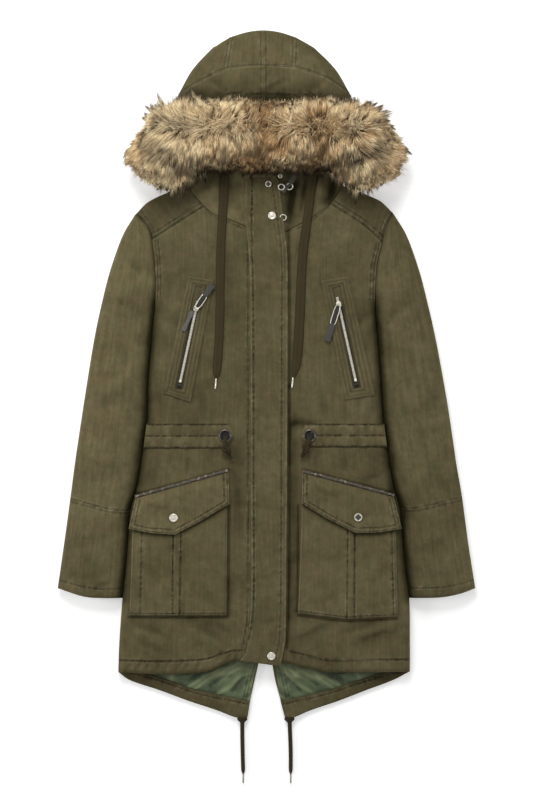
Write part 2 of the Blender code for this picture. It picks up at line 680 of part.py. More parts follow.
def hood():
    """The hood: a back layer on the surface, three crown panels and the brim on it."""
    left, right = OUTLINE["left"], OUTLINE["right"]
    top = spread(left["hood_side"] + [left["crown"][-1]] + HOOD_CENTRE_CROWN[1:] + right["hood_side"][::-1], 9)
    neck = split(left["back_neck"] + right["back_neck"][-2::-1])
    west = left["hood_edge"][:2] + BRIM_LEFT
    east = right["hood_edge"][:2] + BRIM_RIGHT
    panel("hood_back", "left", neck, east, top, west, 0.0, WALL, rounded=("outer", "inner", "top"),
          turned="bottom")
    panel("hood_centre", "left", HOOD_CENTRE_FRONT, right["hood_seam"], HOOD_CENTRE_CROWN, left["hood_seam"],
          FRONT_LOW, HOOD_TOP, rounded=("top",), width=HOOD_ROUND)
    for side in ("left", "right"):
        panel(f"hood_side_{side}", side, chain(side, "brim"), chain(side, "hood_seam"), chain(side, "crown"),
              chain(side, "hood_side"), FRONT_LOW, HOOD_TOP, rounded=("top", "outer"), width=HOOD_ROUND)
    seam = left["brim"] + HOOD_CENTRE_FRONT[1:] + right["brim"][-2::-1]
    panel("hood_brim", "left", spread(BRIM_LOWER, len(seam)), BRIM_RIGHT, seam, BRIM_LEFT,
          FRONT_LOW, HOOD_TOP, rounded=("outer", "inner"))


def fur_trim():
    """The thick fur roll along the hood's edge, as far as the hair reaches, flattened where it lies."""
    far = [dict(upper=(2 * FUR_MIDDLE - s["upper"][0], s["upper"][1]),
                lower=(2 * FUR_MIDDLE - s["lower"][0], s["lower"][1]), height=s["height"]) for s in FUR[-2::-1]]
    table = [(*s["upper"], *s["lower"], s["height"]) for s in FUR + far]
    base = HOOD_TOP + SEAM_GAP
    rings = []
    for ux, uy, lx, ly, height in spread(table, FUR_STATIONS):
        ring = []
        for k in range(FUR_SIDES):
            turn = 2 * math.pi * k / FUR_SIDES
            across = 0.5 + 0.5 * math.cos(turn)
            rise = math.sin(turn)
            if rise > 0:
                up = FUR_WIDEST + (1 - FUR_WIDEST) * rise
            else:
                up = FUR_WIDEST * (1 + max(-1, FUR_FLATTENING * rise))
            ring.append((lx + (ux - lx) * across, ly + (uy - ly) * across, base + height * up))
        rings.append(ring)
    loft("fur_trim", rings, "fur")


def chest_pockets():
    """Slanted chest pockets: a welt round a zip, with its slider and hinged pull."""
    for side, sizes in CHEST.items():
        outer, inner = sizes["outer"], sizes["inner"]
        points = [(x, y, z) for z in (ON_FRONT, ON_FRONT + WELT_THICK) for x, y in outer + inner]
        faces = []
        for k in range(4):
            j = (k + 1) % 4
            faces += [(8 + k, 8 + j, 12 + j, 12 + k), (4 + k, 4 + j, j, k),
                      (k, j, 8 + j, 8 + k), (4 + j, 4 + k, 12 + k, 12 + j)]
        add_object(f"chest_welt_{side}", points, faces, "shell")
        low = straight(inner[0], inner[1], 2)
        high = straight(inner[3], inner[2], 2)
        panel(f"chest_zip_{side}", "left", low, [low[-1], high[-1]], high, [low[0], high[0]],
              ON_FRONT, ON_FRONT + ZIP_TAPE_THICK, "tape", gap=SEAM_GAP)
        slider_and_pull(side, sizes)


def slider_and_pull(side, sizes):
    """A slider with two ears, and the pull whose barrel turns between them."""
    base = ON_FRONT + ZIP_TAPE_THICK + SEAM_GAP
    start, end = Vector(sizes["slider"]), Vector(sizes["pull_end"])
    run = (end - start).normalized()
    across = Vector((-run.y, run.x))

    def place(s, a, z):
        return (start.x + run.x * s + across.x * a, start.y + run.y * s + across.y * a, z)
    ear = BARREL_HALF_WIDTH + SEAM_GAP
    section = [(-SLIDER_HALF_WIDTH, 0), (-SLIDER_HALF_WIDTH, SLIDER_EAR), (-ear, SLIDER_EAR), (-ear, SLIDER_FLOOR),
               (ear, SLIDER_FLOOR), (ear, SLIDER_EAR), (SLIDER_HALF_WIDTH, SLIDER_EAR), (SLIDER_HALF_WIDTH, 0)]
    rings = [[place(s, a, base + up) for a, up in section[::-1]] for s in (-SLIDER_HALF_LENGTH, SLIDER_HALF_LENGTH)]
    loft(f"chest_slider_{side}", rings, "dark_metal")

    axis_z = base + BARREL_LIFT
    length = (end - start).length
    rest = ON_FRONT + WELT_THICK + SEAM_GAP
    tilt = math.asin((axis_z - rest - PULL_REST_LIFT) / length)
    shape = [(p["along"], p["half"], p["thick"]) for p in PULL_BARREL]
    shape += [(length - p["back"], p["half"], p["thick"]) for p in PULL_END]
    rings = []
    for s, half, thick in shape:
        ring = []
        for a, up in ((-half, -thick), (half, -thick), (half, thick), (-half, thick)):
            along = s * math.cos(tilt) + up * math.sin(tilt)
            height = up * math.cos(tilt) - s * math.sin(tilt)
            ring.append(place(along, -a, axis_z + height))
        rings.append(ring[::-1])
    loft(f"chest_pull_{side}", rings, "leather", origin=(start.x, start.y, axis_z))


def waist():
    """The drawstring channel: two stitched runs, an eyelet at the inner end and the knotted cord from it."""
    for side, sizes in WAIST.items():
        low = straight(*sizes["low"], 6)
        high = straight(*sizes["high"], 6)
        inner = split([low[-1], sizes["tip"], high[-1]])
        outer = straight(low[0], high[0], 5)
        lift = np.array(CHANNEL_LIFT)[:, None]
        panel(f"waist_channel_{side}", side, low, inner, high, outer, ON_FRONT, ON_FRONT + CHANNEL_THICK, lift=lift)
        top = ON_FRONT + CHANNEL_THICK + max(CHANNEL_LIFT)
        torus(f"waist_eyelet_{side}", (*sizes["eyelet"], top + SEAM_GAP + EYELET_WIRE),
              EYELET_RADIUS, EYELET_WIRE, "dark_metal")
        tube(f"waist_cord_{side}", spread(sizes["cord"], 10), WAIST_CORD_RADIUS, "cord")


def hip_pockets():
    """Bellows pockets with a pleat strip, a pointed flap with a snap, and piping over the flap."""
    for side, sizes in HIP.items():
        bottom, top = sizes["bottom"], sizes["top"]
        lift = [0, 0, 0, PLEAT_LIFT, PLEAT_LIFT, 0, 0]
        panel(f"hip_pocket_{side}", side, bottom, straight(bottom[-1], top[-1], 4), top,
              straight(bottom[0], top[0], 4), ON_FRONT, POCKET_TOP - PLEAT_LIFT, lift=lift)
        low = sizes["flap_low"]
        high = straight(*sizes["flap_high"], len(low))
        panel(f"hip_flap_{side}", side, low, straight(low[-1], high[-1], 3), high, straight(low[0], high[0], 3),
              POCKET_TOP + SEAM_GAP, POCKET_TOP + SEAM_GAP + FLAP_THICK, rounded=("top",), width=FLAP_SLOPE,
              turned="both", fall=POCKET_TOP - FRONT_TOP)
        stud(f"hip_snap_{side}", *sizes["snap"], POCKET_TOP + FLAP_THICK + 2 * SEAM_GAP, HIP_SNAP_RADIUS,
             SNAP_HEIGHT, "metal")
        line_start, line_end = (Vector(p) for p in sizes["flap_high"])
        run = (line_end - line_start).normalized()
        up = PIPING_RADIUS + PIPING_GAP
        shift = Vector((-run.y, run.x)) * (up if run.x > 0 else -up)
        route = [(x + shift.x, y + shift.y, ON_FRONT + PIPING_RADIUS) for x, y in straight(*sizes["flap_high"], 5)]
        tube(f"hip_piping_{side}", route, PIPING_RADIUS, "leather")


def snaps():
    """The snaps on the placket, and the ring of the neck tab beside it."""
    top = PLACKET_TOP + SEAM_GAP
    for name, snap in PLACKET_SNAPS.items():
        stud(f"placket_snap_{name}", snap["x"], snap["y"], top, snap["radius"], SNAP_HEIGHT, "metal")
    ring = NECK_RING
    torus("neck_ring", (ring["x"], ring["y"], ON_FRONT + ring["wire"]), ring["radius"], ring["wire"], "metal",
          sides=14)


def hood_cords():
    """The two flat hood cords with their metal ends."""
    for side, table in HOOD_CORD.items():
        stations = spread([(p["x"], p["y"], p["half"]) for p in table], 20)
        rings = []
        for k, (x, y, half) in enumerate(stations):
            ahead = Vector(stations[min(k + 1, len(stations) - 1)][:2])
            behind = Vector(stations[max(k - 1, 0)][:2])
            run = (ahead - behind).normalized()
            section = [(half, 0), (0.7 * half, 1), (-0.7 * half, 1), (-half, 0), (-0.7 * half, -1), (0.7 * half, -1)]
            rings.append([(x + run.y * a, y - run.x * a, ON_FRONT + CORD_HALF_THICK * (1 + up))
                          for a, up in section[::-1]])
        loft(f"hood_cord_{side}", rings, "cord")
        (x0, y0), (x1, y1) = HOOD_TIP[side]
        z = ON_FRONT + TIP_RADIUS
        tube(f"hood_cord_tip_{side}", [(x0, y0, z), (x1, y1, z)], TIP_RADIUS, "metal")


def hem_cords():
    """The cords that come out of the tails' hem, with their metal ends, lying on the surface."""
    z = HEM_CORD_RADIUS + SEAM_GAP
    for side, points in HEM_CORD.items():
        route = spread([(x, y, z) for x, y in points], 14)
        tube(f"hem_cord_{side}", route, HEM_CORD_RADIUS, "cord")
        x, y = points[-1]
        tube(f"hem_cord_tip_{side}", [(x, y - SEAM_GAP, z), (x, y - HEM_TIP_LENGTH, z)], TIP_RADIUS, "metal")


def build():
    clear_scene()
    root = bpy.data.objects.new("parka", None)
    bpy.context.scene.collection.objects.link(root)
    for make in (backs, linings, fronts, yokes, sleeves, collars, placket, hood, fur_trim, chest_pockets,
                 waist, hip_pockets, snaps, hood_cords, hem_cords):
        make()


build()
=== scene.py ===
"""A fur trimmed parka laid flat: the finished surfaces around the packed solids.

Sizes in the tables are millimetres in the solids' frame: X across the chest, Y up to the hood, Z up from the
surface that the coat lies on. "left" is the -X side and "right" the +X side. Each cloth piece is a surface
z = f(x, y) over a grid that fills its outline; f starts from the height of the layer and adds folds, seams
and rounded edges, so that whatever lies on a piece can ask it for its height.
"""
import math
from functools import partial

import bpy
import numpy as np
from bpy.props import FloatProperty, FloatVectorProperty, IntProperty, PointerProperty
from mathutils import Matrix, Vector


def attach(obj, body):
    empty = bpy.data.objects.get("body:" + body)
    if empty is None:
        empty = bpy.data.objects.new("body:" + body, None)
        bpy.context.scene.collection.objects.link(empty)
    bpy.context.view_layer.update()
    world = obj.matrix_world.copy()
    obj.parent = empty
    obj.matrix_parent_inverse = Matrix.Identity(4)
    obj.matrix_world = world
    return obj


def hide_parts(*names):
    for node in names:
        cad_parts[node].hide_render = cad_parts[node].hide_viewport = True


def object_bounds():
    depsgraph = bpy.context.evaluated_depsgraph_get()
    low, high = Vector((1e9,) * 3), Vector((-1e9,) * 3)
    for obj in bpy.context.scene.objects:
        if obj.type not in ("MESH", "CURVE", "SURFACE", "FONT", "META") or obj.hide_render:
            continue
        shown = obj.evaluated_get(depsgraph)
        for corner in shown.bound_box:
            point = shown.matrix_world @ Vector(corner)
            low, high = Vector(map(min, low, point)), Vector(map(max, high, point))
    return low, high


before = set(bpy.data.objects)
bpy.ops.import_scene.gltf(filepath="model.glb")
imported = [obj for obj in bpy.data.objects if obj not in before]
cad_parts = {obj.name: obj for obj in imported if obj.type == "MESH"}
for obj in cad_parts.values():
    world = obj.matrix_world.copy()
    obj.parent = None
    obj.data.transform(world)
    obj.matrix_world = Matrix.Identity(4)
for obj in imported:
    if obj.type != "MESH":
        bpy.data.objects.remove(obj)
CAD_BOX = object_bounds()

bl_info = {
    "name": "Fur trimmed parka",
    "version": (1, 0, 0),
    "blender": (4, 5, 0),
    "location": "View3D > Sidebar > Parka",
    "description": "Builds the cloth, fur and fittings of a parka laid flat",
    "category": "Add Mesh",
}

MM = 0.001
SIDES = ("left", "right")
WAY = {"left": -1, "right": 1}

# Heights of the layers
WALL = 10.0
TAIL_WALL = 5.0
FRONT_LOW = 10.3
FRONT_TOP = 23.0
SLEEVE_SPLIT = 12.0
SLEEVE_TOP = 26.0
HOOD_TOP = 27.0
ON_FRONT = 23.3
PLACKET_TOP = 27.5
POCKET_TOP = 30.0
FLAP_THICK = 3.0
EDGE_THICK = 1.2
SEAM_GAP = 0.3

# The middle of the neck seam, in the plan
NECK_MIDDLE = (0, 223)

# A sheet's least area, as a share of its box, and how far the thread stands on the cloth
LEAST_AREA = 0.301
THREAD_LIFT = 0.12

# Outlines that two panels share, or that close one, each from its outer or upper end
OUTLINE = {
    "left": dict(
        shoulder=[(-214, 266), (-202, 279), (-191, 287), (-166, 299), (-131, 312)],
        armhole_yoke=[(-214, 266), (-197, 244), (-189, 221)],
        armhole=[(-189, 221), (-184, 175), (-184, 122)],
        crease=[(-184, 122), (-190, 59), (-196, -23), (-198, -82), (-204, -124), (-215, -188), (-225, -224)],
        crease_forearm=[(-225, -224), (-228, -262), (-232, -312), (-238, -370)],
        side=[(-238, -370), (-243, -439), (-245, -493)],
        yoke=[(-189, 221), (-166, 236), (-143, 251), (-122, 264), (-102, 276)],
        neck_yoke=[(-102, 276), (-116, 292), (-131, 312)],
        neck=[(-102, 276), (-83, 262), (-64, 256), (-35, 244), (0, 223)],
        back_neck=[(-131, 312), (-60, 292), (0, 288)],
        hood_edge=[(-131, 312), (-150, 345), (-158, 384)],
        collar_top=[(-158, 384), (-118, 380), (-76, 366), (-38, 356), (0, 350)],
        hem=[(-245, -493), (-167, -496), (-100, -492), (-64, -477), (-39, -474), (0, -475)],
        outer=[(-218, 262), (-238, 228), (-258, 172), (-271, 122), (-285, 56), (-301, -43),
               (-311, -109), (-317, -150), (-324, -204)],
        outer_forearm=[(-324, -204), (-334, -277), (-345, -354)],
        forearm_seam=[(-324, -204), (-289, -213), (-260, -221), (-225, -224)],
        cuff=[(-345, -354), (-304, -367), (-275, -370), (-238, -370)],
        tail_side=[(-238, -370), (-242, -428), (-243, -445), (-244, -460), (-244.6, -477), (-245, -493)],
        tail=[(-245, -493), (-225, -507), (-177, -523), (-131, -540), (-83, -556), (-51, -568), (-32, -568)],
        vent=[(-32, -568), (-26, -535), (-18, -500), (-8, -455), (-3, -428), (0, -370)],
        facing_top=[(-226, -486), (-191, -497), (-156, -508), (-123, -520), (-88, -528), (-55, -535),
                    (-27, -541)],
        brim=[(-146, 461), (-118, 478), (-95, 490), (-68, 502)],
        hood_seam=[(-68, 502), (-64, 526), (-59, 557)],
        crown=[(-93, 535), (-82, 543), (-71, 550), (-59, 557)],
        hood_side=[(-146, 461), (-123, 502), (-93, 535)],
    ),
    "right": dict(
        shoulder=[(207, 268), (196, 279), (186, 287), (159, 299), (125, 312)],
        armhole_yoke=[(207, 268), (197, 244), (191, 216)],
        armhole=[(191, 216), (182, 175), (180, 119)],
        crease=[(180, 119), (184, 59), (190, -23), (194, -82), (200, -124), (211, -188), (220, -221)],
        crease_forearm=[(220, -221), (224, -262), (229, -312), (236, -370)],
        side=[(236, -370), (237, -439), (237, -492)],
        yoke=[(191, 216), (174, 233), (154, 249), (129, 265), (105, 280)],
        neck_yoke=[(105, 280), (116, 294), (125, 312)],
        neck=[(105, 280), (73, 257), (49, 244), (24, 231), (0, 223)],
        back_neck=[(125, 312), (60, 292), (0, 288)],
        hood_edge=[(125, 312), (143, 345), (150, 384)],
        collar_top=[(150, 384), (112, 380), (74, 366), (37, 356), (0, 350)],
        hem=[(237, -492), (164, -493), (105, -493), (73, -487), (35, -478), (0, -475)],
        outer=[(211, 263), (232, 228), (252, 172), (265, 122), (280, 56), (298, -43),
               (308, -109), (314, -150), (323, -202)],
        outer_forearm=[(323, -202), (333, -277), (345, -354)],
        forearm_seam=[(323, -202), (288, -210), (253, -218), (220, -221)],
        cuff=[(345, -354), (319, -363), (286, -369), (236, -370)],
        tail_side=[(236, -370), (237, -428), (237, -445), (237, -460), (237, -477), (237, -492)],
        tail=[(237, -492), (208, -507), (165, -523), (121, -540), (74, -556), (45, -568), (31, -568)],
        vent=[(31, -568), (22, -535), (13, -500), (6, -455), (2, -428), (0, -370)],
        facing_top=[(216, -486), (181, -497), (146, -508), (111, -520), (80, -528), (50, -535), (23, -541)],
        brim=[(139, 461), (117, 477), (94, 490), (45, 506)],
        hood_seam=[(45, 506), (46, 531), (47, 557)],
        crown=[(83, 535), (72, 543), (60, 550), (47, 557)],
        hood_side=[(139, 461), (115, 502), (83, 535)],
    ),
}
HOOD_CENTRE_FRONT = [(-68, 502), (-34, 507), (-4, 508), (22, 507), (45, 506)]
HOOD_CENTRE_CROWN = [(-59, 557), (-32, 565), (-6, 568), (21, 565), (47, 557)]
BRIM_LOWER = [(-158, 386), (-75, 386), (0, 386), (75, 386), (150, 386)]
BRIM_LEFT = [(-158, 386), (-155, 430), (-146, 461)]
BRIM_RIGHT = [(150, 386), (149, 430), (139, 461)]
PLACKET_LEFT = [(-44, -473), (-34, -452), (-26, -373), (-26, -158), (-27, 122), (-30, 201), (-35, 259),
                (-35, 329)]
PLACKET_RIGHT = [(23, -482), (30, -447), (32, -409), (34, -158), (35, 122), (34, 201), (27, 262), (20, 318)]
PLACKET_HEAD = [(-35, 329), (-12, 330), (10, 330), (20, 318)]
# Fur roll: upper and lower edge of the roll at each station, and its height there; the far half mirrors it
FUR_MIDDLE = -1.0
FUR = [
    dict(upper=(-221, 354), lower=(-211, 336), height=14),
    dict(upper=(-224, 376), lower=(-194, 317), height=34),
    dict(upper=(-214, 406), lower=(-168, 299), height=50),
    dict(upper=(-197, 431), lower=(-141, 299), height=58),
    dict(upper=(-166, 447), lower=(-113, 318), height=62),
    dict(upper=(-110, 451), lower=(-83, 331), height=62),
    dict(upper=(-55, 454), lower=(-45, 332), height=60),
    dict(upper=(-1, 455), lower=(-1, 332), height=60),
]
# Chest pockets, corners from the lower outer one round to the upper outer one; the slider and its pull's end
CHEST = {
    "left": dict(outer=[(-170, -32), (-125, -47), (-87, 155), (-129, 162)],
                 inner=[(-153, -24), (-136, -26), (-104, 142), (-120, 145)],
                 slider=(-116, 108), pull_end=(-89, 147)),
    "right": dict(outer=[(130, -43), (179, -35), (134, 161), (90, 154)],
                  inner=[(141, -25), (158, -21), (124, 146), (106, 140)],
                  slider=(119, 115), pull_end=(100, 54)),
}

# Hip pockets: the bag's edges from the outer side inward, and the flap's
HIP = {
    "left": dict(bottom=[(-226, -397), (-209, -398), (-155, -398), (-154, -398), (-144, -398),
                         (-143, -398), (-66, -398)],
                 top=[(-220, -223), (-204, -219), (-153, -205), (-152, -204), (-141, -202),
                      (-140, -201), (-64, -181)],
                 flap_low=[(-227, -255), (-191, -262), (-151, -265), (-106, -241), (-61, -214)],
                 flap_high=[(-216, -205), (-63, -162)], snap=(-153, -237)),
    "right": dict(bottom=[(217, -400), (209, -400), (144, -403), (143, -403), (134, -404),
                          (133, -404), (52, -394)],
                  top=[(213, -223), (205, -221), (146, -205), (145, -204), (135, -202),
                       (134, -202), (60, -182)],
                  flap_low=[(223, -255), (186, -261), (147, -262), (101, -239), (58, -213)],
                  flap_high=[(210, -203), (59, -163)], snap=(151, -236)),
}
FLAP_SLOPE = 15.0
FLAP_FALL = POCKET_TOP - FRONT_TOP - 1.0

# Waist channel: its edges from the outer side inward, and the eyelet's middle
WAIST = {
    "left": dict(low=[(-203, -123), (-66, -123)], high=[(-198, -82), (-62, -82)],
                 tip=(-54, -102), eyelet=(-68, -102),
                 cord=[(-68, -104, 32.5), (-68, -112, 35.6), (-67, -120, 34.4), (-64, -129, 30.2),
                       (-58, -140, 27.3)]),
    "right": dict(low=[(199, -121), (66, -121)], high=[(194, -82), (64, -82)],
                  tip=(57, -102), eyelet=(71, -102),
                  cord=[(71, -104, 32.5), (69, -112, 35.6), (66, -120, 34.4), (62, -128, 30.2),
                        (58, -137, 27.3)]),
}

# Flat hood cords, from the collar down, with the half width at each point
HOOD_CORD = {
    "left": [
        dict(x=-69, y=333, half=8.0),
        dict(x=-71, y=290, half=7.6),
        dict(x=-74, y=235, half=7.2),
        dict(x=-76, y=185, half=7.2),
        dict(x=-77, y=101, half=7.2),
        dict(x=-79, y=46, half=7.2),
        dict(x=-82, y=8, half=7.2),
        dict(x=-83, y=-7, half=2.6),
    ],
    "right": [
        dict(x=77, y=333, half=8.0),
        dict(x=73, y=300, half=7.2),
        dict(x=66, y=246, half=7.2),
        dict(x=59, y=188, half=7.6),
        dict(x=55, y=101, half=8.0),
        dict(x=52, y=46, half=8.0),
        dict(x=49, y=16, half=7.2),
        dict(x=44, y=-5, half=2.8),
    ],
}
HOOD_TIP = {
    "left": ((-83.1, -7.5), (-84.5, -25)),
    "right": ((43.6, -5.5), (42, -23)),
}
HEM_CORD = {
    "left": [(-40, -568.2), (-40, -595), (-39.5, -625), (-38.5, -661)],
    "right": [(38, -568.2), (39, -595), (40, -625), (40, -661)],
}
HEM_TIP_LENGTH = 16.0
TIP_RADIUS = 1.7
HEM_CORD_RADIUS = 3.6

# Outlines that run on from one another without a corner
SMOOTH_GROUPS = (
    ("armhole_yoke", "armhole", "crease", "crease_forearm", "side"),
    ("outer", "outer_forearm"),
    ("hood_side", "crown"),
)
CURVE_STEPS = 10

# Cells of the cloth's grids, and the finer steps beside an edge
CELL = 2.0
FINE_CELL = 1.6
RIM_STEPS = (0.0, 0.35, 0.95, 1.9, 3.3)
COARSE_RIM = (0.0, 1.0, 3.0, 7.0)

# Soft folds of the coat's front: path, height (negative sinks), half width, how much wider the left flank is
BODY_FOLDS = [
    ([(-188, 108), (-158, 88), (-124, 64)], -2.6, 12, 0.4),
    ([(-186, 78), (-168, 58), (-150, 24)], -1.4, 8, -0.3),
    ([(-62, 215), (-58, 130), (-48, 40)], -1.6, 17, 0.2),
    ([(-120, 236), (-98, 216), (-70, 206)], -1.0, 10, 0.3),
    ([(-180, -4), (-174, -44), (-170, -82)], -2.2, 9, 0.3),
    ([(-142, -30), (-146, -56), (-144, -82)], -1.6, 7, -0.3),
    ([(-112, -18), (-106, -50), (-104, -82)], -2.0, 9, 0.2),
    ([(-84, -40), (-82, -60), (-86, -82)], -1.2, 6, 0.0),
    ([(-176, -124), (-180, -150), (-190, -196)], -2.2, 10, -0.4),
    ([(-152, -124), (-156, -146), (-150, -168)], -1.4, 6, 0.2),
    ([(-128, -124), (-128, -150), (-136, -176)], -2.0, 9, 0.3),
    ([(-92, -124), (-90, -146), (-82, -166)], -2.2, 8, -0.2),
    ([(-60, -128), (-50, -210), (-48, -300)], -1.8, 11, 0.3),
    ([(-52, -190), (-40, -260), (-44, -350)], -1.2, 8, -0.4),
    ([(-236, -412), (-190, -424), (-146, -446)], -3.0, 11, 0.5),
    ([(-214, -446), (-186, -452), (-160, -470)], -1.9, 7, 0.2),
    ([(-142, -408), (-96, -428), (-54, -456)], -3.2, 11, 0.4),
    ([(-98, -408), (-72, -420), (-48, -444)], -2.1, 7, -0.3),
    ([(-120, -446), (-96, -450), (-72, -466)], -1.2, 7, 0.2),
    ([(186, 110), (160, 92), (132, 72)], -2.6, 12, -0.4),
    ([(180, 66), (164, 44), (150, 8)], -1.3, 9, 0.2),
    ([(78, 200), (80, 110), (72, 20)], -1.6, 17, 0.2),
    ([(62, 236), (60, 214), (50, 190)], -1.5, 9, 0.3),
    ([(118, 240), (98, 222), (74, 214)], -1.0, 9, -0.3),
    ([(182, -14), (178, -48), (172, -82)], -2.0, 9, 0.3),
    ([(156, -34), (152, -60), (156, -82)], -1.3, 6, 0.0),
    ([(128, -40), (132, -62), (134, -82)], -2.2, 8, -0.2),
    ([(92, -20), (94, -54), (100, -82)], -1.8, 9, 0.3),
    ([(52, -40), (48, -70), (40, -96)], -1.7, 8, 0.3),
    ([(172, -124), (176, -154), (186, -190)], -2.0, 10, 0.4),
    ([(150, -124), (146, -144), (148, -164)], -1.3, 6, 0.0),
    ([(130, -124), (130, -150), (122, -174)], -2.2, 9, -0.3),
    ([(84, -124), (82, -144), (78, -166)], -1.8, 8, 0.2),
    ([(52, -130), (44, -200), (46, -290)], -2.2, 9, 0.3),
    ([(56, -250), (40, -330), (50, -410)], -1.6, 9, -0.3),
    ([(160, -180), (172, -173), (193, -168)], -1.6, 4, 0.3),
    ([(230, -424), (186, -432), (140, -452)], -3.2, 11, 0.4),
    ([(196, -410), (160, -418), (122, -430)], -2.1, 8, -0.3),
    ([(120, -410), (84, -424), (46, -444)], -2.8, 11, 0.4),
    ([(104, -444), (80, -454), (54, -466)], -1.2, 7, 0.2),
]

SLEEVE_FOLDS = {
    "left": [
        ([(-262, 124), (-228, 112), (-192, 92)], -2.4, 14, 0.4),
        ([(-240, 190), (-216, 176), (-192, 150)], -1.6, 12, 0.3),
        ([(-280, 40), (-240, 60), (-200, 70)], 1.6, 18, 0.2),
        ([(-300, -60), (-258, -44), (-214, -20)], -2.2, 15, -0.4),
        ([(-296, 6), (-262, -4), (-230, 8)], -1.0, 9, 0.2),
        ([(-305, -130), (-262, -142), (-222, -150)], 1.6, 18, 0.3),
        ([(-318, -170), (-280, -176), (-246, -164)], -1.3, 10, 0.3),
        ([(-322, -286), (-282, -276), (-240, -254)], -2.0, 15, 0.4),
        ([(-334, -330), (-300, -338), (-268, -326)], -1.1, 9, -0.3),
        ([(-286, -366), (-276, -352), (-252, -346)], -1.6, 4, 0.2),
    ],
    "right": [
        ([(256, 130), (224, 108), (192, 80)], -2.4, 14, -0.4),
        ([(236, 200), (212, 180), (192, 150)], -1.5, 12, -0.2),
        ([(275, 30), (236, 44), (200, 50)], 1.6, 18, 0.2),
        ([(292, -40), (252, -62), (214, -76)], -2.2, 15, 0.4),
        ([(300, -86), (270, -96), (240, -88)], -1.1, 9, 0.1),
        ([(300, -120), (262, -146), (224, -166)], 1.6, 18, -0.3),
        ([(316, -176), (284, -186), (248, -178)], -1.3, 9, 0.3),
        ([(318, -270), (280, -282), (240, -300)], -2.0, 15, 0.4),
        ([(334, -320), (300, -332), (262, -328)], -1.2, 9, 0.2),
    ],
}

HOOD_FOLDS = [
    ([(-104, 488), (-78, 476), (-62, 462)], -2.4, 7, 0.3),
    ([(-126, 470), (-112, 462), (-92, 458)], -1.8, 8, 0.0),
    ([(-44, 492), (-30, 480), (-8, 474)], -1.2, 8, 0.2),
    ([(100, 490), (84, 474), (64, 464)], -2.0, 8, -0.3),
    ([(36, 486), (14, 477), (-3, 466)], -2.2, 5, 0.5),
    ([(-60, 474), (-44, 482), (-22, 488)], 1.0, 6, 0.0),
    ([(-80, 546), (-74, 526), (-78, 508)], -1.2, 7, 0.0),
    ([(66, 540), (60, 524), (64, 508)], -1.2, 7, 0.0),
]

# Seams: path, rows of stitches as offsets to its left, pucker, swell between the rows, depth of the grooves
FRONT_SEAMS = {
    "left": [
        ([(-244, -472), (-180, -474), (-106, -471), (-64, -458), (-40, -456)], (0,), 0.7),
        ([(-186, 222), (-181, 175), (-181, 124)], (1.6, 6.0), 0.6, 0.5),
        ([(-100, 274), (-83, 260), (-64, 254), (-35, 242)], (-2.4,), 0.4),
        ([(-30.5, 250), (-31, 122), (-30.5, -158), (-31, -380), (-40, -452)], (0,), 0.6),
    ],
    "right": [
        ([(38, -457), (72, -466), (104, -472), (164, -472), (236, -471)], (0,), 0.7),
        ([(188, 217), (179, 175), (177, 121)], (-1.6, -6.0), 0.6, 0.5),
        ([(103, 278), (73, 255), (49, 242), (38, 237)], (2.4,), 0.4),
    ],
}
YOKE_SEAMS = {side: [(OUTLINE[side]["yoke"], (1.8 * way, 8.5 * way), 0.6, 0.5),
                     (OUTLINE[side]["armhole_yoke"], (2.0 * way, 6.6 * way), 0.5, 0.5)]
              for side, way in (("left", 1), ("right", -1))}
SLEEVE_SEAMS = {
    "left": [(OUTLINE["left"]["forearm_seam"], (-1.8, -6.2), 0.7, 0.6),
             ([(-343, -340), (-304, -350), (-275, -354), (-238, -354)], (0,), 0.8)],
    "right": [(OUTLINE["right"]["forearm_seam"], (1.8, 6.2), 0.7, 0.6),
              ([(343, -339), (319, -346), (286, -352), (236, -353)], (0,), 0.8)],
}
HOOD_SEAMS = [
    ([(-6, 566), (-5, 520), (-5, 490), (-5, 450)], (-4.2, 4.2), 0.5, 0.7, 0.38),
    (OUTLINE["left"]["hood_seam"][::-1], (-2.4, 2.6), 0.5, 0.4, 0.38),
    (OUTLINE["right"]["hood_seam"][::-1], (-2.6, 2.4), 0.5, 0.4, 0.38),
    (OUTLINE["left"]["brim"] + HOOD_CENTRE_FRONT[1:] + OUTLINE["right"]["brim"][-2::-1],
     (2.4,), 0.6, 0.0, 0.38),
    ([(-86, 462), (-40, 463), (20, 462), (92, 461)], (0,), 0.6, 0.0, 0.38),
]
TAIL_SEAMS = {
    "left": [([(-232, -492), (-191, -503), (-156, -514), (-123, -526), (-88, -534), (-55, -541), (-30, -546)],
              (0,), 0.7)],
    "right": [([(222, -492), (181, -503), (146, -514), (111, -526), (80, -534), (50, -541), (26, -546)],
               (0,), 0.7)],
}

# Dark places of the front beside what lies on it: path, reach and strength
FRONT_SHADOWS = {
    "left": [
        ([(-228, -401), (-160, -401.5), (-64, -401)], 2.0, 0.9),
        ([(-62, -216), (-62.5, -300), (-63, -398)], 2.4, 0.8),
        ([(-219, -199), (-140, -178), (-62, -157)], 2.6, 0.6),
        ([(-54, -124), (-50, -136), (-46, -148)], 9, 0.45),
    ],
    "right": [
        ([(36, 240), (38, 122), (37.5, -20)], 2.8, 0.75),
        ([(37.5, -20), (37.5, -158), (37, -300), (35.5, -410), (33, -452)], 2.8, 0.9),
        ([(45, -222), (47, -290), (45, -350), (43, -398)], 8.0, 0.34),
        ([(52, -398), (130, -407), (215, -404)], 2.0, 0.9),
        ([(52.5, -216), (52, -300), (50.5, -392)], 2.2, 0.75),
        ([(60, -157), (136, -177), (213, -197)], 2.6, 0.6),
        ([(44, -82), (58, -80), (74, -83)], 7, 0.7),
        ([(40, -96), (44, -120), (42, -146)], 7, 0.5),
    ],
}
BODY = "parka"


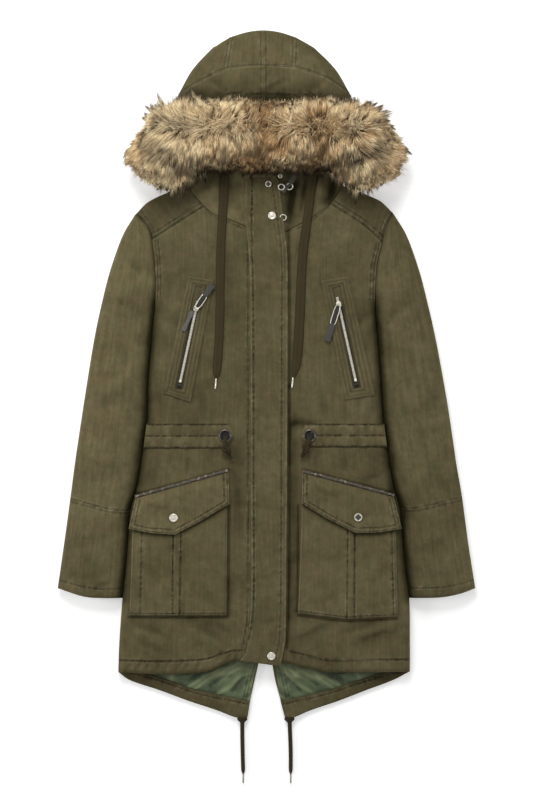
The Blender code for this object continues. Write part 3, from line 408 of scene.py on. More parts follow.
def length_property(name, description, default):
    """A property that holds a length in metres."""
    return FloatProperty(name=name, description=description, default=default, unit="LENGTH",
                         subtype="DISTANCE")


def colour_property(name, description, *display):
    """A property that holds a colour, given by its display values from 0 to 255."""
    return FloatVectorProperty(name=name, description=description, default=linear(*display), subtype="COLOR",
                               min=0, max=1)


class ParkaCloth(bpy.types.PropertyGroup):
    """Sizes of the cloth and its sewing."""
    fold_strength: FloatProperty(name="Folds", description="Scales the depth of the folds placed by hand",
                                 default=1.5, min=0.0, max=3.0)
    crumple: FloatProperty(name="Crumple", description="Height of the soft crumples of washed cotton, in mm",
                           default=1.0, min=0.0, max=3.0)
    pucker: FloatProperty(name="Pucker", description="Scales the puckers beside the seams", default=1.0,
                          min=0.0, max=2.0)
    stitch_pitch: length_property("Stitch pitch", "Distance from stitch to stitch", 0.0033)
    stitch_width: length_property("Thread width", "Width of the sewing thread as it lies", 0.0011)


def linear(red, green, blue):
    """The linear colour of display values from 0 to 255."""
    return tuple(((v / 255 + 0.055) / 1.055) ** 2.4 if v > 10 else v / 255 / 12.92
                 for v in (red, green, blue))


class ParkaColours(bpy.types.PropertyGroup):
    """Colours of the cloth, fur and fittings."""
    shell: colour_property("Shell", "Washed cotton twill", 90, 83, 59)
    # The faded shell also gives painted highlights on rises; the deep shell is the colour of painted shade in
    # seams, creases and hollows
    shell_faded_and_highlight: colour_property("Faded shell", "Twill along worn edges", 130, 121, 94)
    shell_painted_shade: colour_property("Deep shell", "Twill in seams and creases", 33, 30, 17)
    lining: colour_property("Lining", "Green lining", 94, 106, 76)
    thread: colour_property("Thread", "Sewing thread", 52, 46, 30)
    cord: colour_property("Cord", "Drawstrings", 56, 48, 29)
    leather: colour_property("Leather", "Zip tabs", 70, 68, 64)
    piping: colour_property("Piping", "Piping over the hip flaps", 84, 77, 68)
    metal: colour_property("Metal", "Snaps, zips and cord ends", 236, 230, 214)
    worn_metal: colour_property("Worn metal", "Ends of the hem cords", 160, 154, 146)
    dark_metal: colour_property("Dark metal", "Eyelets and sliders", 104, 100, 90)
    fur_root: colour_property("Fur roots", "Hair near the skin", 112, 84, 52)
    fur_light: colour_property("Light fur", "Middle of the light hair", 255, 236, 194)
    fur_warm: colour_property("Warm fur", "Middle of the brown hair", 184, 146, 100)
    # The fur tips' colour is also the colour of the painted shade under the roll and between tufts
    fur_tip: colour_property("Fur tips", "Dark tips of the guard hair", 32, 23, 15)


class ParkaFur(bpy.types.PropertyGroup):
    """Sizes of the fur."""
    hairs: IntProperty(name="Hairs", description="Hairs in each of the three stretches of fur", default=15600,
                       min=100, max=19900)
    length: length_property("Hair length", "Reach of a hair beyond the roll's core", 0.052)
    width: length_property("Hair width", "Width of a hair near its root", 0.0011)
    clumps: IntProperty(name="Tufts", description="Tufts that the hairs gather into, in each stretch",
                        default=340, min=10)


class ParkaStage(bpy.types.PropertyGroup):
    """The camera's frame and the lamps."""
    frame_height: length_property("Frame height", "Height of the view at the coat", 1.320)
    frame_centre: length_property("Frame centre", "Where on Y the view is centred", -0.0429)
    distance: length_property("Camera height", "Distance from the coat to the camera", 6.0)
    key: FloatProperty(name="Key lamp", description="Power of the lamp beyond the hood, in watts",
                       default=46.0)
    sides: FloatProperty(name="Side lamps", description="Power of each side lamp, in watts", default=15.0)
    sky: FloatProperty(name="Sky", description="Strength of the even light from all round", default=0.40)


# Curves and grids


def run_lengths(points):
    """The length of a line of points up to each of them."""
    steps = np.linalg.norm(np.diff(points, axis=0), axis=1)
    return np.concatenate([[0.0], np.cumsum(steps)])


def unit(vectors, least=1e-9):
    """Vectors scaled to length 1, each along the last axis."""
    return vectors / np.maximum(np.linalg.norm(vectors, axis=-1, keepdims=True), least)


def smooth(points, steps=CURVE_STEPS):
    """Dense points on the Catmull-Rom curve: cubics whose slopes follow the neighbouring points."""
    given = np.array(points, float)
    padded = np.vstack([2 * given[0] - given[1], given, 2 * given[-1] - given[-2]])
    t = np.linspace(0, 1, steps, endpoint=False)[None, :, None]
    a, b, c, d = (padded[k:len(padded) - 3 + k, None] for k in range(4))
    dense = 0.5 * (2 * b + (c - a) * t + (2 * a - 5 * b + 4 * c - d) * t ** 2
                   + (3 * b - a - 3 * c + d) * t ** 3)
    return np.vstack([dense.reshape(-1, given.shape[1]), given[-1:]])


def at(curve, places):
    """Points at the given shares of a curve's length."""
    run = run_lengths(curve)
    return np.stack([np.interp(places * run[-1], run, column) for column in curve.T], axis=-1)


def smooth_lines(side):
    """Every outline of a side as a dense curve; those that run on from one another are smoothed as one."""
    table = OUTLINE[side]
    lines = {name: smooth(points) for name, points in table.items()}
    for group in SMOOTH_GROUPS:
        joined = table[group[0]] + [p for name in group[1:] for p in table[name][1:]]
        dense = smooth(joined)
        start = 0
        for name in group:
            count = (len(table[name]) - 1) * CURVE_STEPS
            lines[name] = dense[start:start + count + 1]
            start += count
    return lines


LINES = {side: smooth_lines(side) for side in SIDES}


def chain(side, *names):
    """The named outlines of one side joined end to end, as one dense curve."""
    return np.vstack([LINES[side][names[0]]] + [LINES[side][name][1:] for name in names[1:]])


def straight(*points):
    """A line through the given points, as an array."""
    return np.array(points, float)


def stops(length, cell, rim):
    """Shares of a length: the rim's small steps at both ends, and even cells between them."""
    near = np.array(rim) / max(length, 2.6 * rim[-1])
    count = max(2, int(round(length * (1 - 2 * near[-1]) / cell)) + 1)
    middle = np.linspace(near[-1], 1 - near[-1], count)
    return np.concatenate([near[:-1], middle, 1 - near[-2::-1]])


class Plan:
    """A grid between four curves: the sum of the blends of opposite curves less the corners' blend."""

    def __init__(self, bottom, right, top, left, cell=CELL, rim=RIM_STEPS, gap=SEAM_GAP / 2):
        width = (run_lengths(bottom)[-1] + run_lengths(top)[-1]) / 2
        height = (run_lengths(left)[-1] + run_lengths(right)[-1]) / 2
        u_at, v_at = stops(width, cell, rim), stops(height, cell, rim)
        low, high, west, east = at(bottom, u_at), at(top, u_at), at(left, v_at), at(right, v_at)
        u, v = u_at[None, :, None], v_at[:, None, None]
        corners = ((1 - u) * (1 - v) * low[0] + u * (1 - v) * low[-1]
                   + (1 - u) * v * high[0] + u * v * high[-1])
        grid = (1 - u) * west[:, None] + u * east[:, None] + (1 - v) * low[None] + v * high[None] - corners
        for edge, inner in ((np.s_[0], np.s_[1]), (np.s_[-1], np.s_[-2]),
                            (np.s_[:, 0], np.s_[:, 1]), (np.s_[:, -1], np.s_[:, -2])):
            step = grid[inner] - grid[edge]
            grid[edge] += gap * step / np.maximum(np.linalg.norm(step, axis=-1, keepdims=True), 1e-6)
        self.x, self.y = grid[..., 0], grid[..., 1]
        self.uv = np.stack(np.broadcast_arrays(u_at[None] * width, v_at[:, None] * height), axis=-1) * MM
        outline = np.vstack([bottom, right[1:], top[::-1][1:], left[::-1][1:]])
        xs, ys = outline.T
        self.area = abs(np.sum(xs * np.roll(ys, -1) - ys * np.roll(xs, -1))) / 2 * MM ** 2
        self.flat = ((xs.max() - xs.min()) * MM, (ys.max() - ys.min()) * MM)


def side_plan(side, bottom, inner, top, outer, **settings):
    """The plan of a panel whose bottom and top run inward and whose inner and outer edges run upward."""
    if side == "left":
        return Plan(bottom, inner, top, outer, **settings)
    return Plan(bottom[::-1], outer, top[::-1], inner, **settings)


def measure(line, x, y, reach=40.0):
    """Signed distance to a line (positive on its left) and the place along it, for each point.

    Each segment's nearest point is its foot point held between its ends; the nearest segment counts.
    Points further off than the reach keep the reach as their distance.
    """
    away = np.full(x.shape, reach * 1.0)
    place = np.zeros(x.shape)
    low, high = line.min(0) - reach, line.max(0) + reach
    near = (x > low[0]) & (x < high[0]) & (y > low[1]) & (y < high[1])
    if not near.any():
        return away, place
    px, py = x[near], y[near]
    best, side, along = np.full(px.shape, reach ** 2), np.ones(px.shape), np.zeros(px.shape)
    run = run_lengths(line)
    for k, (start, end) in enumerate(zip(line[:-1], line[1:])):
        dx, dy = end - start
        size = max(dx * dx + dy * dy, 1e-9)
        t = np.clip(((px - start[0]) * dx + (py - start[1]) * dy) / size, 0, 1)
        ox, oy = px - start[0] - t * dx, py - start[1] - t * dy
        far = ox * ox + oy * oy
        nearer = far < best
        best = np.where(nearer, far, best)
        side = np.where(nearer, np.where(dx * oy - dy * ox >= 0, 1.0, -1.0), side)
        along = np.where(nearer, run[k] + t * math.sqrt(size), along)
    away[near] = np.sqrt(best) * side
    place[near] = along
    return away, place


def lattice(x, y, size, seed):
    """Smooth random heights from -1 to 1: random numbers on a square lattice, blended with a cubic ease."""
    numbers = np.random.default_rng(seed).uniform(-1, 1, (97, 97))
    u, v = np.asarray(x) / size, np.asarray(y) / size
    i, j = np.floor(u).astype(int), np.floor(v).astype(int)
    s, t = u - i, v - j
    s, t = s * s * (3 - 2 * s), t * t * (3 - 2 * t)
    i0, j0, i1, j1 = i % 97, j % 97, (i + 1) % 97, (j + 1) % 97
    return ((numbers[i0, j0] * (1 - s) + numbers[i1, j0] * s) * (1 - t)
            + (numbers[i0, j1] * (1 - s) + numbers[i1, j1] * s) * t)


def ease(value, low, high):
    """0 below low, 1 above high, and a smooth rise between."""
    t = np.clip((value - low) / (high - low), 0, 1)
    return t * t * (3 - 2 * t)


class Relief:
    """The height of a cloth surface over a set of points, with how faded and how deep in a crease it is."""

    def __init__(self, x, y, base):
        self.x, self.y = np.asarray(x, float), np.asarray(y, float)
        self.z = np.zeros(self.x.shape) + base
        # wear holds real worn paleness and painted highlights on rises; deep holds painted shade in creases,
        # seams and hollows
        self.wear, self.deep = np.zeros(self.x.shape), np.zeros(self.x.shape)
        self.cloth = bpy.context.scene.parka_cloth

    def fold(self, path, height, width, lean=0.0):
        """A ridge or trough: a bell curve across its path, wider on one flank, fading to both ends."""
        line = smooth(path)
        away, place = measure(line, self.x, self.y, reach=3.2 * width)
        fade = np.sin(np.pi * np.clip(place / run_lengths(line)[-1], 0, 1)) ** 0.7
        bell = fade * np.exp(-(away / (width * (1 + lean * np.sign(away)))) ** 2)
        self.z += self.cloth.fold_strength * height * bell
        # Painted shade in the trough
        self.deep += 0.10 * max(-height, 0.0) * bell ** 2

    def seam(self, path, rows=(0,), pucker=0.5, swell=0.0, groove=0.6, seed=3, rounded=True):
        """Rows of stitches: a bell shaped groove under each, a swell between them and puckers across.

        A pucker's height is a random wave along the seam, slanted a little, that dies away over 8 mm.
        """
        line = smooth(path) if rounded else np.array(path, float)
        away, place = measure(line, self.x, self.y)
        ends = ease(place, -0.1, 1.5) * ease(run_lengths(line)[-1] - place, -0.1, 1.5)
        middle = sum(rows) / len(rows)
        wave = lattice(place + 0.35 * away, 0 * place, 5.2, seed)
        wave = wave + 0.5 * lattice(place - 0.5 * away, 0 * place, 3.1, seed + 1)
        self.z += self.cloth.pucker * pucker * wave * np.exp(-((away - middle) / 8.0) ** 2) * ends
        for row in rows:
            self.z -= groove * np.exp(-((away - row) / 1.5) ** 2) * ends
            beat = lattice(place, 0 * place + 7 * row, 3.2, seed + 5)
            # Painted shade in each groove, uneven along it
            self.deep += 1.4 * groove * (0.72 + 0.62 * beat) * np.exp(-((away - row) / 1.25) ** 2) * ends
            # Beside each row the cloth is paler, as a worn ridge and as painted highlights on the puckers'
            # tops
            beside = np.exp(-((np.abs(away - row) - 2.0) / 1.1) ** 2) * ends
            self.wear += (0.10 + 0.5 * np.clip(wave, -0.2, 1)) * beside
        if swell:
            half = abs(rows[-1] - rows[0]) / 2
            self.z += swell * np.clip(1 - ((away - middle) / half) ** 2, 0, 1) * ends

    def edge(self, line, width, drop, wear=0.35, where=None):
        """A rounded edge: within the width the height falls as a quarter of an ellipse, by the drop."""
        away, place = measure(line, self.x, self.y, reach=width * 1.05 + 6)
        inward = np.clip(1 - np.abs(away) / width, 0, 1)
        share = 1.0 if where is None else where(self.x, self.y)
        self.z -= drop * (1 - np.sqrt(np.clip(1 - inward ** 2, 0, 1))) * share
        ragged = 0.7 + 0.5 * lattice(place, 0 * place, 4.0, 11)
        self.wear += wear * ragged * np.exp(-((np.abs(away) - 0.8) / 1.6) ** 2) * share

    def crease(self, line, reach, amount=0.8, where=None):
        """Darken the cloth towards a line where it turns away from the light."""
        away, _ = measure(line, self.x, self.y, reach=reach * 3)
        share = 1.0 if where is None else where(self.x, self.y)
        self.deep += amount * np.exp(-(away / reach) ** 2) * share

    def crumple(self, amount=1.0, seed=20):
        """Soft crumples: three sizes of lattice noise, the middle one sharpened into shallow creases."""
        wide = lattice(self.x, self.y, 58.0, seed)
        soft = lattice(self.x + 9 * wide, self.y * 1.2, 23.0, seed + 1)
        sharp = np.abs(lattice(self.x * 1.1 + 5 * soft, self.y + 0.3 * self.x, 13.0, seed + 2)) ** 0.8
        fine = lattice(self.x, self.y, 6.5, seed + 3)
        rise = 0.62 * wide + 0.55 * soft - 0.55 * (sharp - 0.4) + 0.14 * fine
        self.z += self.cloth.crumple * amount * rise
        # Painted highlights on the rises and painted shade in the hollows
        self.wear += 0.14 * np.clip(rise, 0, 1)
        self.deep += 0.26 * np.clip(-rise, 0, 1)

    def keep_above(self, low):
        """Hold the surface at least the cloth's own edge thickness above its underside."""
        self.z = np.maximum(self.z, low + EDGE_THICK)


# Meshes


def mesh_object(name, points, quads=(), tris=(), polygon=(), look=None, uv=None, values=None,
                flat_angle=50.0):
    """A piece from points in millimetres and faces, with its UV map, values per point and material."""
    mesh = bpy.data.meshes.new(name)
    groups = [np.asarray(g, np.int32).reshape(-1, n) for g, n in ((quads, 4), (tris, 3)) if len(g)]
    if len(polygon):
        groups.append(np.asarray(polygon, np.int32).reshape(1, -1))
    corners = np.concatenate([g.ravel() for g in groups])
    sizes = np.concatenate([np.full(len(g), g.shape[1], np.int32) for g in groups])
    mesh.vertices.add(len(points))
    mesh.vertices.foreach_set("co", (np.asarray(points, float) * MM).astype(np.float32).ravel())
    mesh.loops.add(len(corners))
    mesh.loops.foreach_set("vertex_index", corners)
    mesh.polygons.add(len(sizes))
    mesh.polygons.foreach_set("loop_start", np.concatenate([[0], np.cumsum(sizes)[:-1]]).astype(np.int32))
    mesh.update(calc_edges=True)
    if uv is not None:
        layer = mesh.uv_layers.new(name="Cloth")
        layer.uv.foreach_set("vector", np.asarray(uv, np.float32)[corners].ravel())
    for key, numbers in (values or {}).items():
        layer = mesh.attributes.new(key, "FLOAT", "POINT")
        layer.data.foreach_set("value", np.asarray(numbers, np.float32).ravel())
    mesh.shade_smooth()
    if flat_angle:
        mesh.set_sharp_from_angle(angle=math.radians(flat_angle))
    mesh.materials.append(look)
    thing = bpy.data.objects.new(name, mesh)
    bpy.context.scene.collection.objects.link(thing)
    return thing


def grid_quads(rows, columns, start=0):
    """The faces of a grid of points, whose left-hand turn points up."""
    corner = (np.arange(rows - 1)[:, None] * columns + np.arange(columns - 1)[None]).ravel() + start
    return np.stack([corner, corner + 1, corner + 1 + columns, corner + columns], axis=1)


def rim_of(rows, columns):
    """The points round a grid, anticlockwise."""
    side = np.arange(rows * columns).reshape(rows, columns)
    return np.concatenate([side[0], side[1:, -1], side[-1, -2::-1], side[-2:0:-1, 0]])


def fitting(name, shape, look, nodes=(), slot="metal", body=BODY, **settings):
    """A piece from a shape's points and faces that belongs to the coat at once."""
    return join_coat(mesh_object(name, *shape, look=look, **settings), nodes, body)


def cloth_piece(node, plan, relief, low, look, upside_down=False,
                part="cloth"):
    """A closed piece for a node: its relief over the plan, sides down to a low height and a flat underside.

    relief and low may be functions of x and y. An upside down piece has its relief below and a flat top.
    """
    if callable(relief):
        relief = relief(plan.x, plan.y)
    rows, columns = plan.x.shape
    rim = rim_of(rows, columns)
    x, y = plan.x.ravel(), plan.y.ravel()
    rim_low = low(x[rim], y[rim]) if callable(low) else np.full(len(rim), float(low))
    points = np.vstack([np.column_stack([x, y, relief.z.ravel()]),
                        np.column_stack([x[rim], y[rim], rim_low])])
    ring = rows * columns + np.arange(len(rim))
    walls = np.stack([ring, np.roll(ring, -1), np.roll(rim, -1), rim], axis=1)
    quads, polygon = np.vstack([grid_quads(rows, columns), walls]), ring[::-1]
    if upside_down:
        quads, polygon = quads[:, ::-1], ring
    uv, wear, deep = (np.concatenate([v, v[rim]]) for v in (plan.uv.reshape(-1, 2), relief.wear.ravel(),
                                                             relief.deep.ravel()))
    piece = mesh_object(f"{node}_{part}", points, quads, polygon=polygon, look=look, uv=uv,
                        values=dict(wear=wear, deep=deep))
    join_coat(piece, node)
    if part == "cloth":
        box = plan.flat[0] * plan.flat[1]
        min(max(plan.area, LEAST_AREA * box), box)
    return piece


def join_coat(piece, nodes=(), body=BODY):
    """Let a piece ride on a body, stand for its solids and take its finish from a slot."""
    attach(piece, body)
    if nodes:
        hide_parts(*([nodes] if isinstance(nodes, str) else nodes))
    return piece


def loft(rings):
    """Points and faces of a tube through rings of points: rings is an array of ring, point, coordinate."""
    count, sides = rings.shape[:2]
    ring, side = np.arange(count - 1)[:, None] * sides, np.arange(sides)[None]
    ahead = (side + 1) % sides
    quads = np.stack([ring + side, ring + ahead, ring + sides + ahead, ring + sides + side], axis=-1)
    points = np.vstack([rings.reshape(-1, 3), rings[0].mean(0), rings[-1].mean(0)])
    first, last, start = count * sides, count * sides + 1, (count - 1) * sides
    side, ahead = side[0], ahead[0]
    tris = np.vstack([np.stack([np.full(sides, first), ahead, side], 1),
                      np.stack([np.full(sides, last), start + side, start + ahead], 1)])
    return points, quads.reshape(-1, 4), tris


def frames(path):
    """Two directions square to a path at each point, the second as upright as can be."""
    ahead = unit(np.gradient(path, axis=0))
    across = np.cross(ahead, (0.0, 0.0, 1.0))
    size = np.linalg.norm(across, axis=1, keepdims=True)
    across = np.where(size > 1e-4, across / np.maximum(size, 1e-4), (1.0, 0.0, 0.0))
    return across, np.cross(across, ahead)


def sweep(path, section):
    """Rings along a path: section gives, for each ring, points as amounts across and up."""
    across, up = frames(path)
    section = np.broadcast_to(section, (len(path),) + section.shape[-2:])
    return path[:, None] + across[:, None] * section[..., :1] + up[:, None] * section[..., 1:]


def circle(radius, sides):
    """A round section, clockwise as seen from ahead, so that a sweep's faces point out."""
    turn = -2 * np.pi * np.arange(sides) / sides
    return np.stack([radius * np.cos(turn), radius * np.sin(turn)], axis=1)


def along_uv(rings):
    """UV of a tube: round it and along it, in metres, with its two end points last."""
    run = run_lengths(rings.mean(1))
    around = np.arange(rings.shape[1]) / rings.shape[1]
    uv = np.stack(np.broadcast_arrays(around[None], run[:, None] * MM), axis=-1).reshape(-1, 2)
    return np.vstack([uv, [0.5, 0.0], [0.5, run[-1] * MM]])


def wrapped_quads(count, around):
    """Faces over rings of points that close both round and along."""
    ring, side = np.arange(count)[:, None] * around, np.arange(around)[None]
    down, ahead = (ring + around) % (count * around), (side + 1) % around
    return np.stack([ring + side, ring + ahead, down + ahead, down + side], axis=-1).reshape(-1, 4)


def closed_tube(path, radius, sides=12):
    """Points and faces of a round tube along a path that closes on itself."""
    ahead = unit(np.roll(path, -1, 0) - np.roll(path, 1, 0))
    across = unit(np.cross(ahead, (0, 0, 1.0)))
    wire = circle(radius, sides)[None]
    rings = path[:, None] + across[:, None] * wire[..., :1] + np.cross(across, ahead)[:, None] * wire[..., 1:]
    return rings.reshape(-1, 3), wrapped_quads(len(path), sides)


def tube_piece(name, path, radius, look, nodes, slot, sides=14):
    """A round tube along a path; the radius may change along it."""
    rings = sweep(path, circle(1.0, sides)[None] * np.broadcast_to(radius, len(path))[:, None, None])
    return fitting(name, loft(rings), look, nodes, slot, uv=along_uv(rings), flat_angle=60.0)


def turned_piece(name, centre, profile, look, nodes=(), slot="metal", sides=40):
    """A turned piece: the profile's radius and height carried round an upright axis, closed at both ends."""
    profile = np.array(profile, float)
    turn = 2 * np.pi * np.arange(sides) / sides
    rings = np.stack([profile[:, :1] * np.cos(turn), profile[:, :1] * np.sin(turn),
                      np.broadcast_to(profile[:, 1:], (len(profile), sides))], axis=-1) + np.array(centre)
    return fitting(name, loft(rings), look, nodes, slot, flat_angle=35.0)


def join_arrays(parts):
    """Points and faces of several shapes as one: each part is points, quads and triangles."""
    points, quads, tris, start = [], [], [], 0
    for part_points, part_quads, part_tris in parts:
        points.append(part_points)
        quads.append(np.asarray(part_quads, int).reshape(-1, 4) + start)
        tris.append(np.asarray(part_tris, int).reshape(-1, 3) + start)
        start += len(part_points)
    return np.vstack(points), np.vstack(quads), np.vstack(tris)


def repeat(template, quads, tris, centres, frames_xyz):
    """Copies of a small shape: its points are carried to every centre along that place's three axes."""
    placed = centres[:, None] + np.einsum("tk,nkc->ntc", template, frames_xyz)
    shift = (np.arange(len(centres)) * len(template))[:, None, None]
    return (placed.reshape(-1, 3), (np.asarray(quads)[None] + shift).reshape(-1, 4),
            (np.asarray(tris)[None] + shift).reshape(-1, 3))


# Materials


class Value:
    """A shader socket; using it in an expression adds the Math nodes that work the expression out."""

    def __init__(self, look, socket):
        self.look, self.socket = look, socket

    def math(self, operation, first, second=None):
        inputs = {0: first} if second is None else {0: first, 1: second}
        return self.look.node("Math", {"operation": operation}, inputs)

    def __add__(self, other):
        return self.math("ADD", self, other)

    __radd__ = __add__

    def __sub__(self, other):
        return self.math("SUBTRACT", self, other)

    def __rsub__(self, other):
        return self.math("SUBTRACT", other, self)

    def __mul__(self, other):
        return self.math("MULTIPLY", self, other)

    __rmul__ = __mul__

    def __pow__(self, other):
        return self.math("POWER", self, other)

    def held(self, low=0.0, high=1.0):
        """The value kept between two limits."""
        return self.math("MINIMUM", self.math("MAXIMUM", self, low), high)


class Look:
    """A material being made: the shader's constant values are set first, and what varies is linked to it."""

    def __init__(self, name, **constants):
        self.material = bpy.data.materials.new(name)
        self.material.use_nodes = True
        self.tree = self.material.node_tree
        self.shader = self.tree.nodes["Principled BSDF"]
        for key, value in constants.items():
            self.shader.inputs[key.replace("_", " ")].default_value = value

    def node(self, kind, settings=None, inputs=None, output=0):
        """Add a node: its settings first, then the values or links of its sockets."""
        node = self.tree.nodes.new("ShaderNode" + kind)
        for key, value in (settings or {}).items():
            if key == "stops":
                while len(node.color_ramp.elements) < len(value):
                    node.color_ramp.elements.new(1.0)
                for element, (place, colour) in zip(node.color_ramp.elements, value):
                    element.position = place
                    element.color = (*colour, 1.0)
            else:
                setattr(node, key, value)
        for key, value in (inputs or {}).items():
            if isinstance(value, Value):
                self.tree.links.new(value.socket, node.inputs[key])
            else:
                node.inputs[key].default_value = value
        return Value(self, node.outputs[output])

    def attribute(self, name):
        return self.node("Attribute", {"attribute_name": name}, output=2)

    def place(self, scale=(1, 1, 1), kind="cloth", turn=(0, 0, 0)):
        """The piece's own coordinates in metres, scaled: its cloth's UV map or its place in the frame."""
        if kind == "cloth":
            source = self.node("UVMap", {"uv_map": "Cloth"})
        else:
            source = self.node("TexCoord", output=3)
        return self.node("Mapping", None, {"Vector": source, "Rotation": turn, "Scale": scale})

    def noise(self, scale, detail=3.0, kind="cloth", stretch=(1, 1, 1), roughness=0.55, distortion=0.0):
        return self.node("TexNoise", None, {"Vector": self.place(stretch, kind), "Scale": scale,
                                            "Detail": detail, "Roughness": roughness,
                                            "Distortion": distortion})

    def mix(self, factor, first, second, blend="MIX"):
        """Blend two colours."""
        def colour(value):
            return value if isinstance(value, Value) else (*tuple(value)[:3], 1.0)

        return self.node("Mix", {"data_type": "RGBA", "blend_type": blend, "clamp_factor": True},
                         {0: factor, 6: colour(first), 7: colour(second)}, output=2)

    def shaded(self, colour, tone):
        """A colour made lighter or darker by a value, or tinted by three amounts."""
        return self.mix(1.0, colour, tone, "MULTIPLY")

    def finish(self, colour=None, roughness=None, height=None, bump=0.0, metallic=None):
        """Link what varies to the shader; height goes through a Bump node, its distance in metres."""
        if colour is not None:
            self.tree.links.new(colour.socket, self.shader.inputs["Base Color"])
        if roughness is not None:
            self.tree.links.new(roughness.socket, self.shader.inputs["Roughness"])
        if metallic is not None:
            self.tree.links.new(metallic.socket, self.shader.inputs["Metallic"])
        if height is not None:
            normal = self.node("Bump", None, {"Height": height, "Strength": 1.0, "Distance": bump})
            self.tree.links.new(normal.socket, self.shader.inputs["Normal"])
        return self.material


def made_once(name):
    """Make a finish once for each name; its full name sets it apart from the frame's plain materials."""
    def wrap(build):
        def finish(title=name, *settings, **more):
            full_name = f"parka_{title}"
            return bpy.data.materials.get(full_name) or build(full_name, *settings, **more)
        return finish
    return wrap


def colours():
    return bpy.context.scene.parka_colours


@made_once("twill")
def twill_look(title, tone=1.0, grain=1.0):
    """Washed cotton twill: fine slanting ribs, uneven yarns, cloudy fading, pale edges and dark seams."""
    look = Look(title, Roughness=0.95, Sheen_Weight=0.0, Specular_IOR_Level=0.0)
    ribs = look.node("TexWave", {"wave_type": "BANDS", "bands_direction": "DIAGONAL"},
                     {"Vector": look.place(), "Scale": 330.0, "Distortion": 1.2, "Detail": 1.0,
                      "Detail Scale": 3.0}, output=1)
    warp = look.noise(1.0, 2.0, stretch=(900, 60, 1), roughness=0.6)
    weft = look.noise(1.0, 2.0, stretch=(70, 900, 1), roughness=0.6)
    streak = look.noise(1.0, 3.0, stretch=(240, 14, 1), roughness=0.65)
    cloud = look.noise(11.0, 4.0, kind="object", roughness=0.6, distortion=0.4)
    patch = look.noise(95.0, 4.0, kind="object", roughness=0.65, distortion=0.6)
    hue = look.noise(60.0, 3.0, kind="object", roughness=0.7)
    wear, deep = look.attribute("wear"), look.attribute("deep")
    # tone scales a piece's whole cloth lighter or darker: painted light and painted shade for that piece
    tint = (0.44 * cloud + 0.62 * patch + 0.62 * streak * grain + 0.06 * ribs + (0.47 - 0.31 * grain)) * tone
    # Towards the faded colour: real worn paleness, painted highlights and cloudy fading
    faded_and_lit = (wear * (0.2 + 1.2 * patch) + 0.30 * (cloud - 0.52)).held(0.0, 0.85)
    green = look.shaded(colours().shell, (0.96, 1.02, 1.0))
    brown = look.shaded(colours().shell, (1.045, 0.98, 1.0))
    colour = look.mix(((hue - 0.38) * 4.0).held(), green, brown)
    colour = look.mix(faded_and_lit, colour, colours().shell_faded_and_highlight)
    # Painted shade in seams, creases and hollows
    colour = look.mix((deep * 0.9).held(0.0, 0.93), colour, colours().shell_painted_shade)
    height = 0.5 * ribs + 0.35 * warp + 0.3 * weft + 0.9 * patch
    return look.finish(look.shaded(colour, tint), (0.80 + 0.12 * patch).held(), height, 0.00045)


@made_once("lining")
def lining_look(title):
    """Green lining cloth: a smooth plain weave with a soft gloss."""
    look = Look(title, Roughness=0.5, Sheen_Weight=0.0, Specular_IOR_Level=0.25)
    weave = look.noise(1.0, 2.0, stretch=(900, 260, 1))
    patch = look.noise(45.0, 4.0, kind="object")
    # Painted shade in the creases
    base = look.mix((look.attribute("deep") * 0.8).held(0, 0.85), colours().lining, linear(36, 46, 33))
    # Paler at worn edges and as painted highlights on the wrinkles
    base = look.mix((look.attribute("wear") * 0.6).held(0, 0.6), base, linear(138, 140, 106))
    colour = look.shaded(base, 0.45 + 1.0 * patch + 0.12 * weave)
    return look.finish(colour, (0.42 + 0.2 * patch).held(), weave, 0.0001)


@made_once("thread")
def thread_look(title):
    """Sewing thread: a fine twist of two plies."""
    look = Look(title, Roughness=0.8)
    twist = look.noise(900.0, 1.0, kind="object")
    patch = look.noise(60.0, 2.0, kind="object")
    colour = look.shaded(look.mix(patch, colours().thread, colours().shell), 0.7 + 0.5 * twist)
    return look.finish(colour, 0.7 + 0.2 * twist)


@made_once("cord")
def cord_look(title):
    """Braided cotton cord: two slanting sets of plaits with dark gaps."""
    look = Look(title, Roughness=0.9, Sheen_Weight=0.02, Specular_IOR_Level=0.15)
    turn = math.radians(58)
    one, two = (look.node("TexWave", {"wave_type": "BANDS", "bands_direction": "X"},
                          {"Vector": look.place((0.012, 1, 1), turn=(0, 0, angle)), "Scale": 150.0,
                           "Distortion": 0.6, "Detail": 1.0}, output=1) for angle in (turn, -turn))
    plait = one * two
    patch = look.noise(50.0, 3.0, kind="object")
    colour = look.shaded(colours().cord, 0.50 + 0.55 * plait + 0.6 * patch)
    return look.finish(colour, 0.75 + 0.15 * patch, plait + 0.4 * patch, 0.0006)


@made_once("ribbon")
def ribbon_look(title):
    """Flat braid: fine lengthwise yarns, darker towards both of its edges and along two furrows."""
    look = Look(title, Roughness=0.9, Sheen_Weight=0.02, Specular_IOR_Level=0.15)
    around = look.node("SeparateXYZ", None, {"Vector": look.place()})
    side = look.node("Math", {"operation": "COSINE"}, {0: around * (2 * math.pi)})
    furrow_shade = look.node("Math", {"operation": "COSINE"}, {0: around * (8 * math.pi)})
    yarns = look.noise(1.0, 3.0, stretch=(60, 30, 1), roughness=0.7)
    patch = look.noise(40.0, 3.0, kind="object")
    # Painted shade towards both edges and in the furrows
    tone = 0.62 + 0.45 * yarns + 0.42 * patch - 0.42 * side * side * side * side - 0.10 * furrow_shade
    return look.finish(look.shaded(colours().cord, tone), 0.8 + 0.1 * patch, yarns + 0.5 * patch, 0.0004)


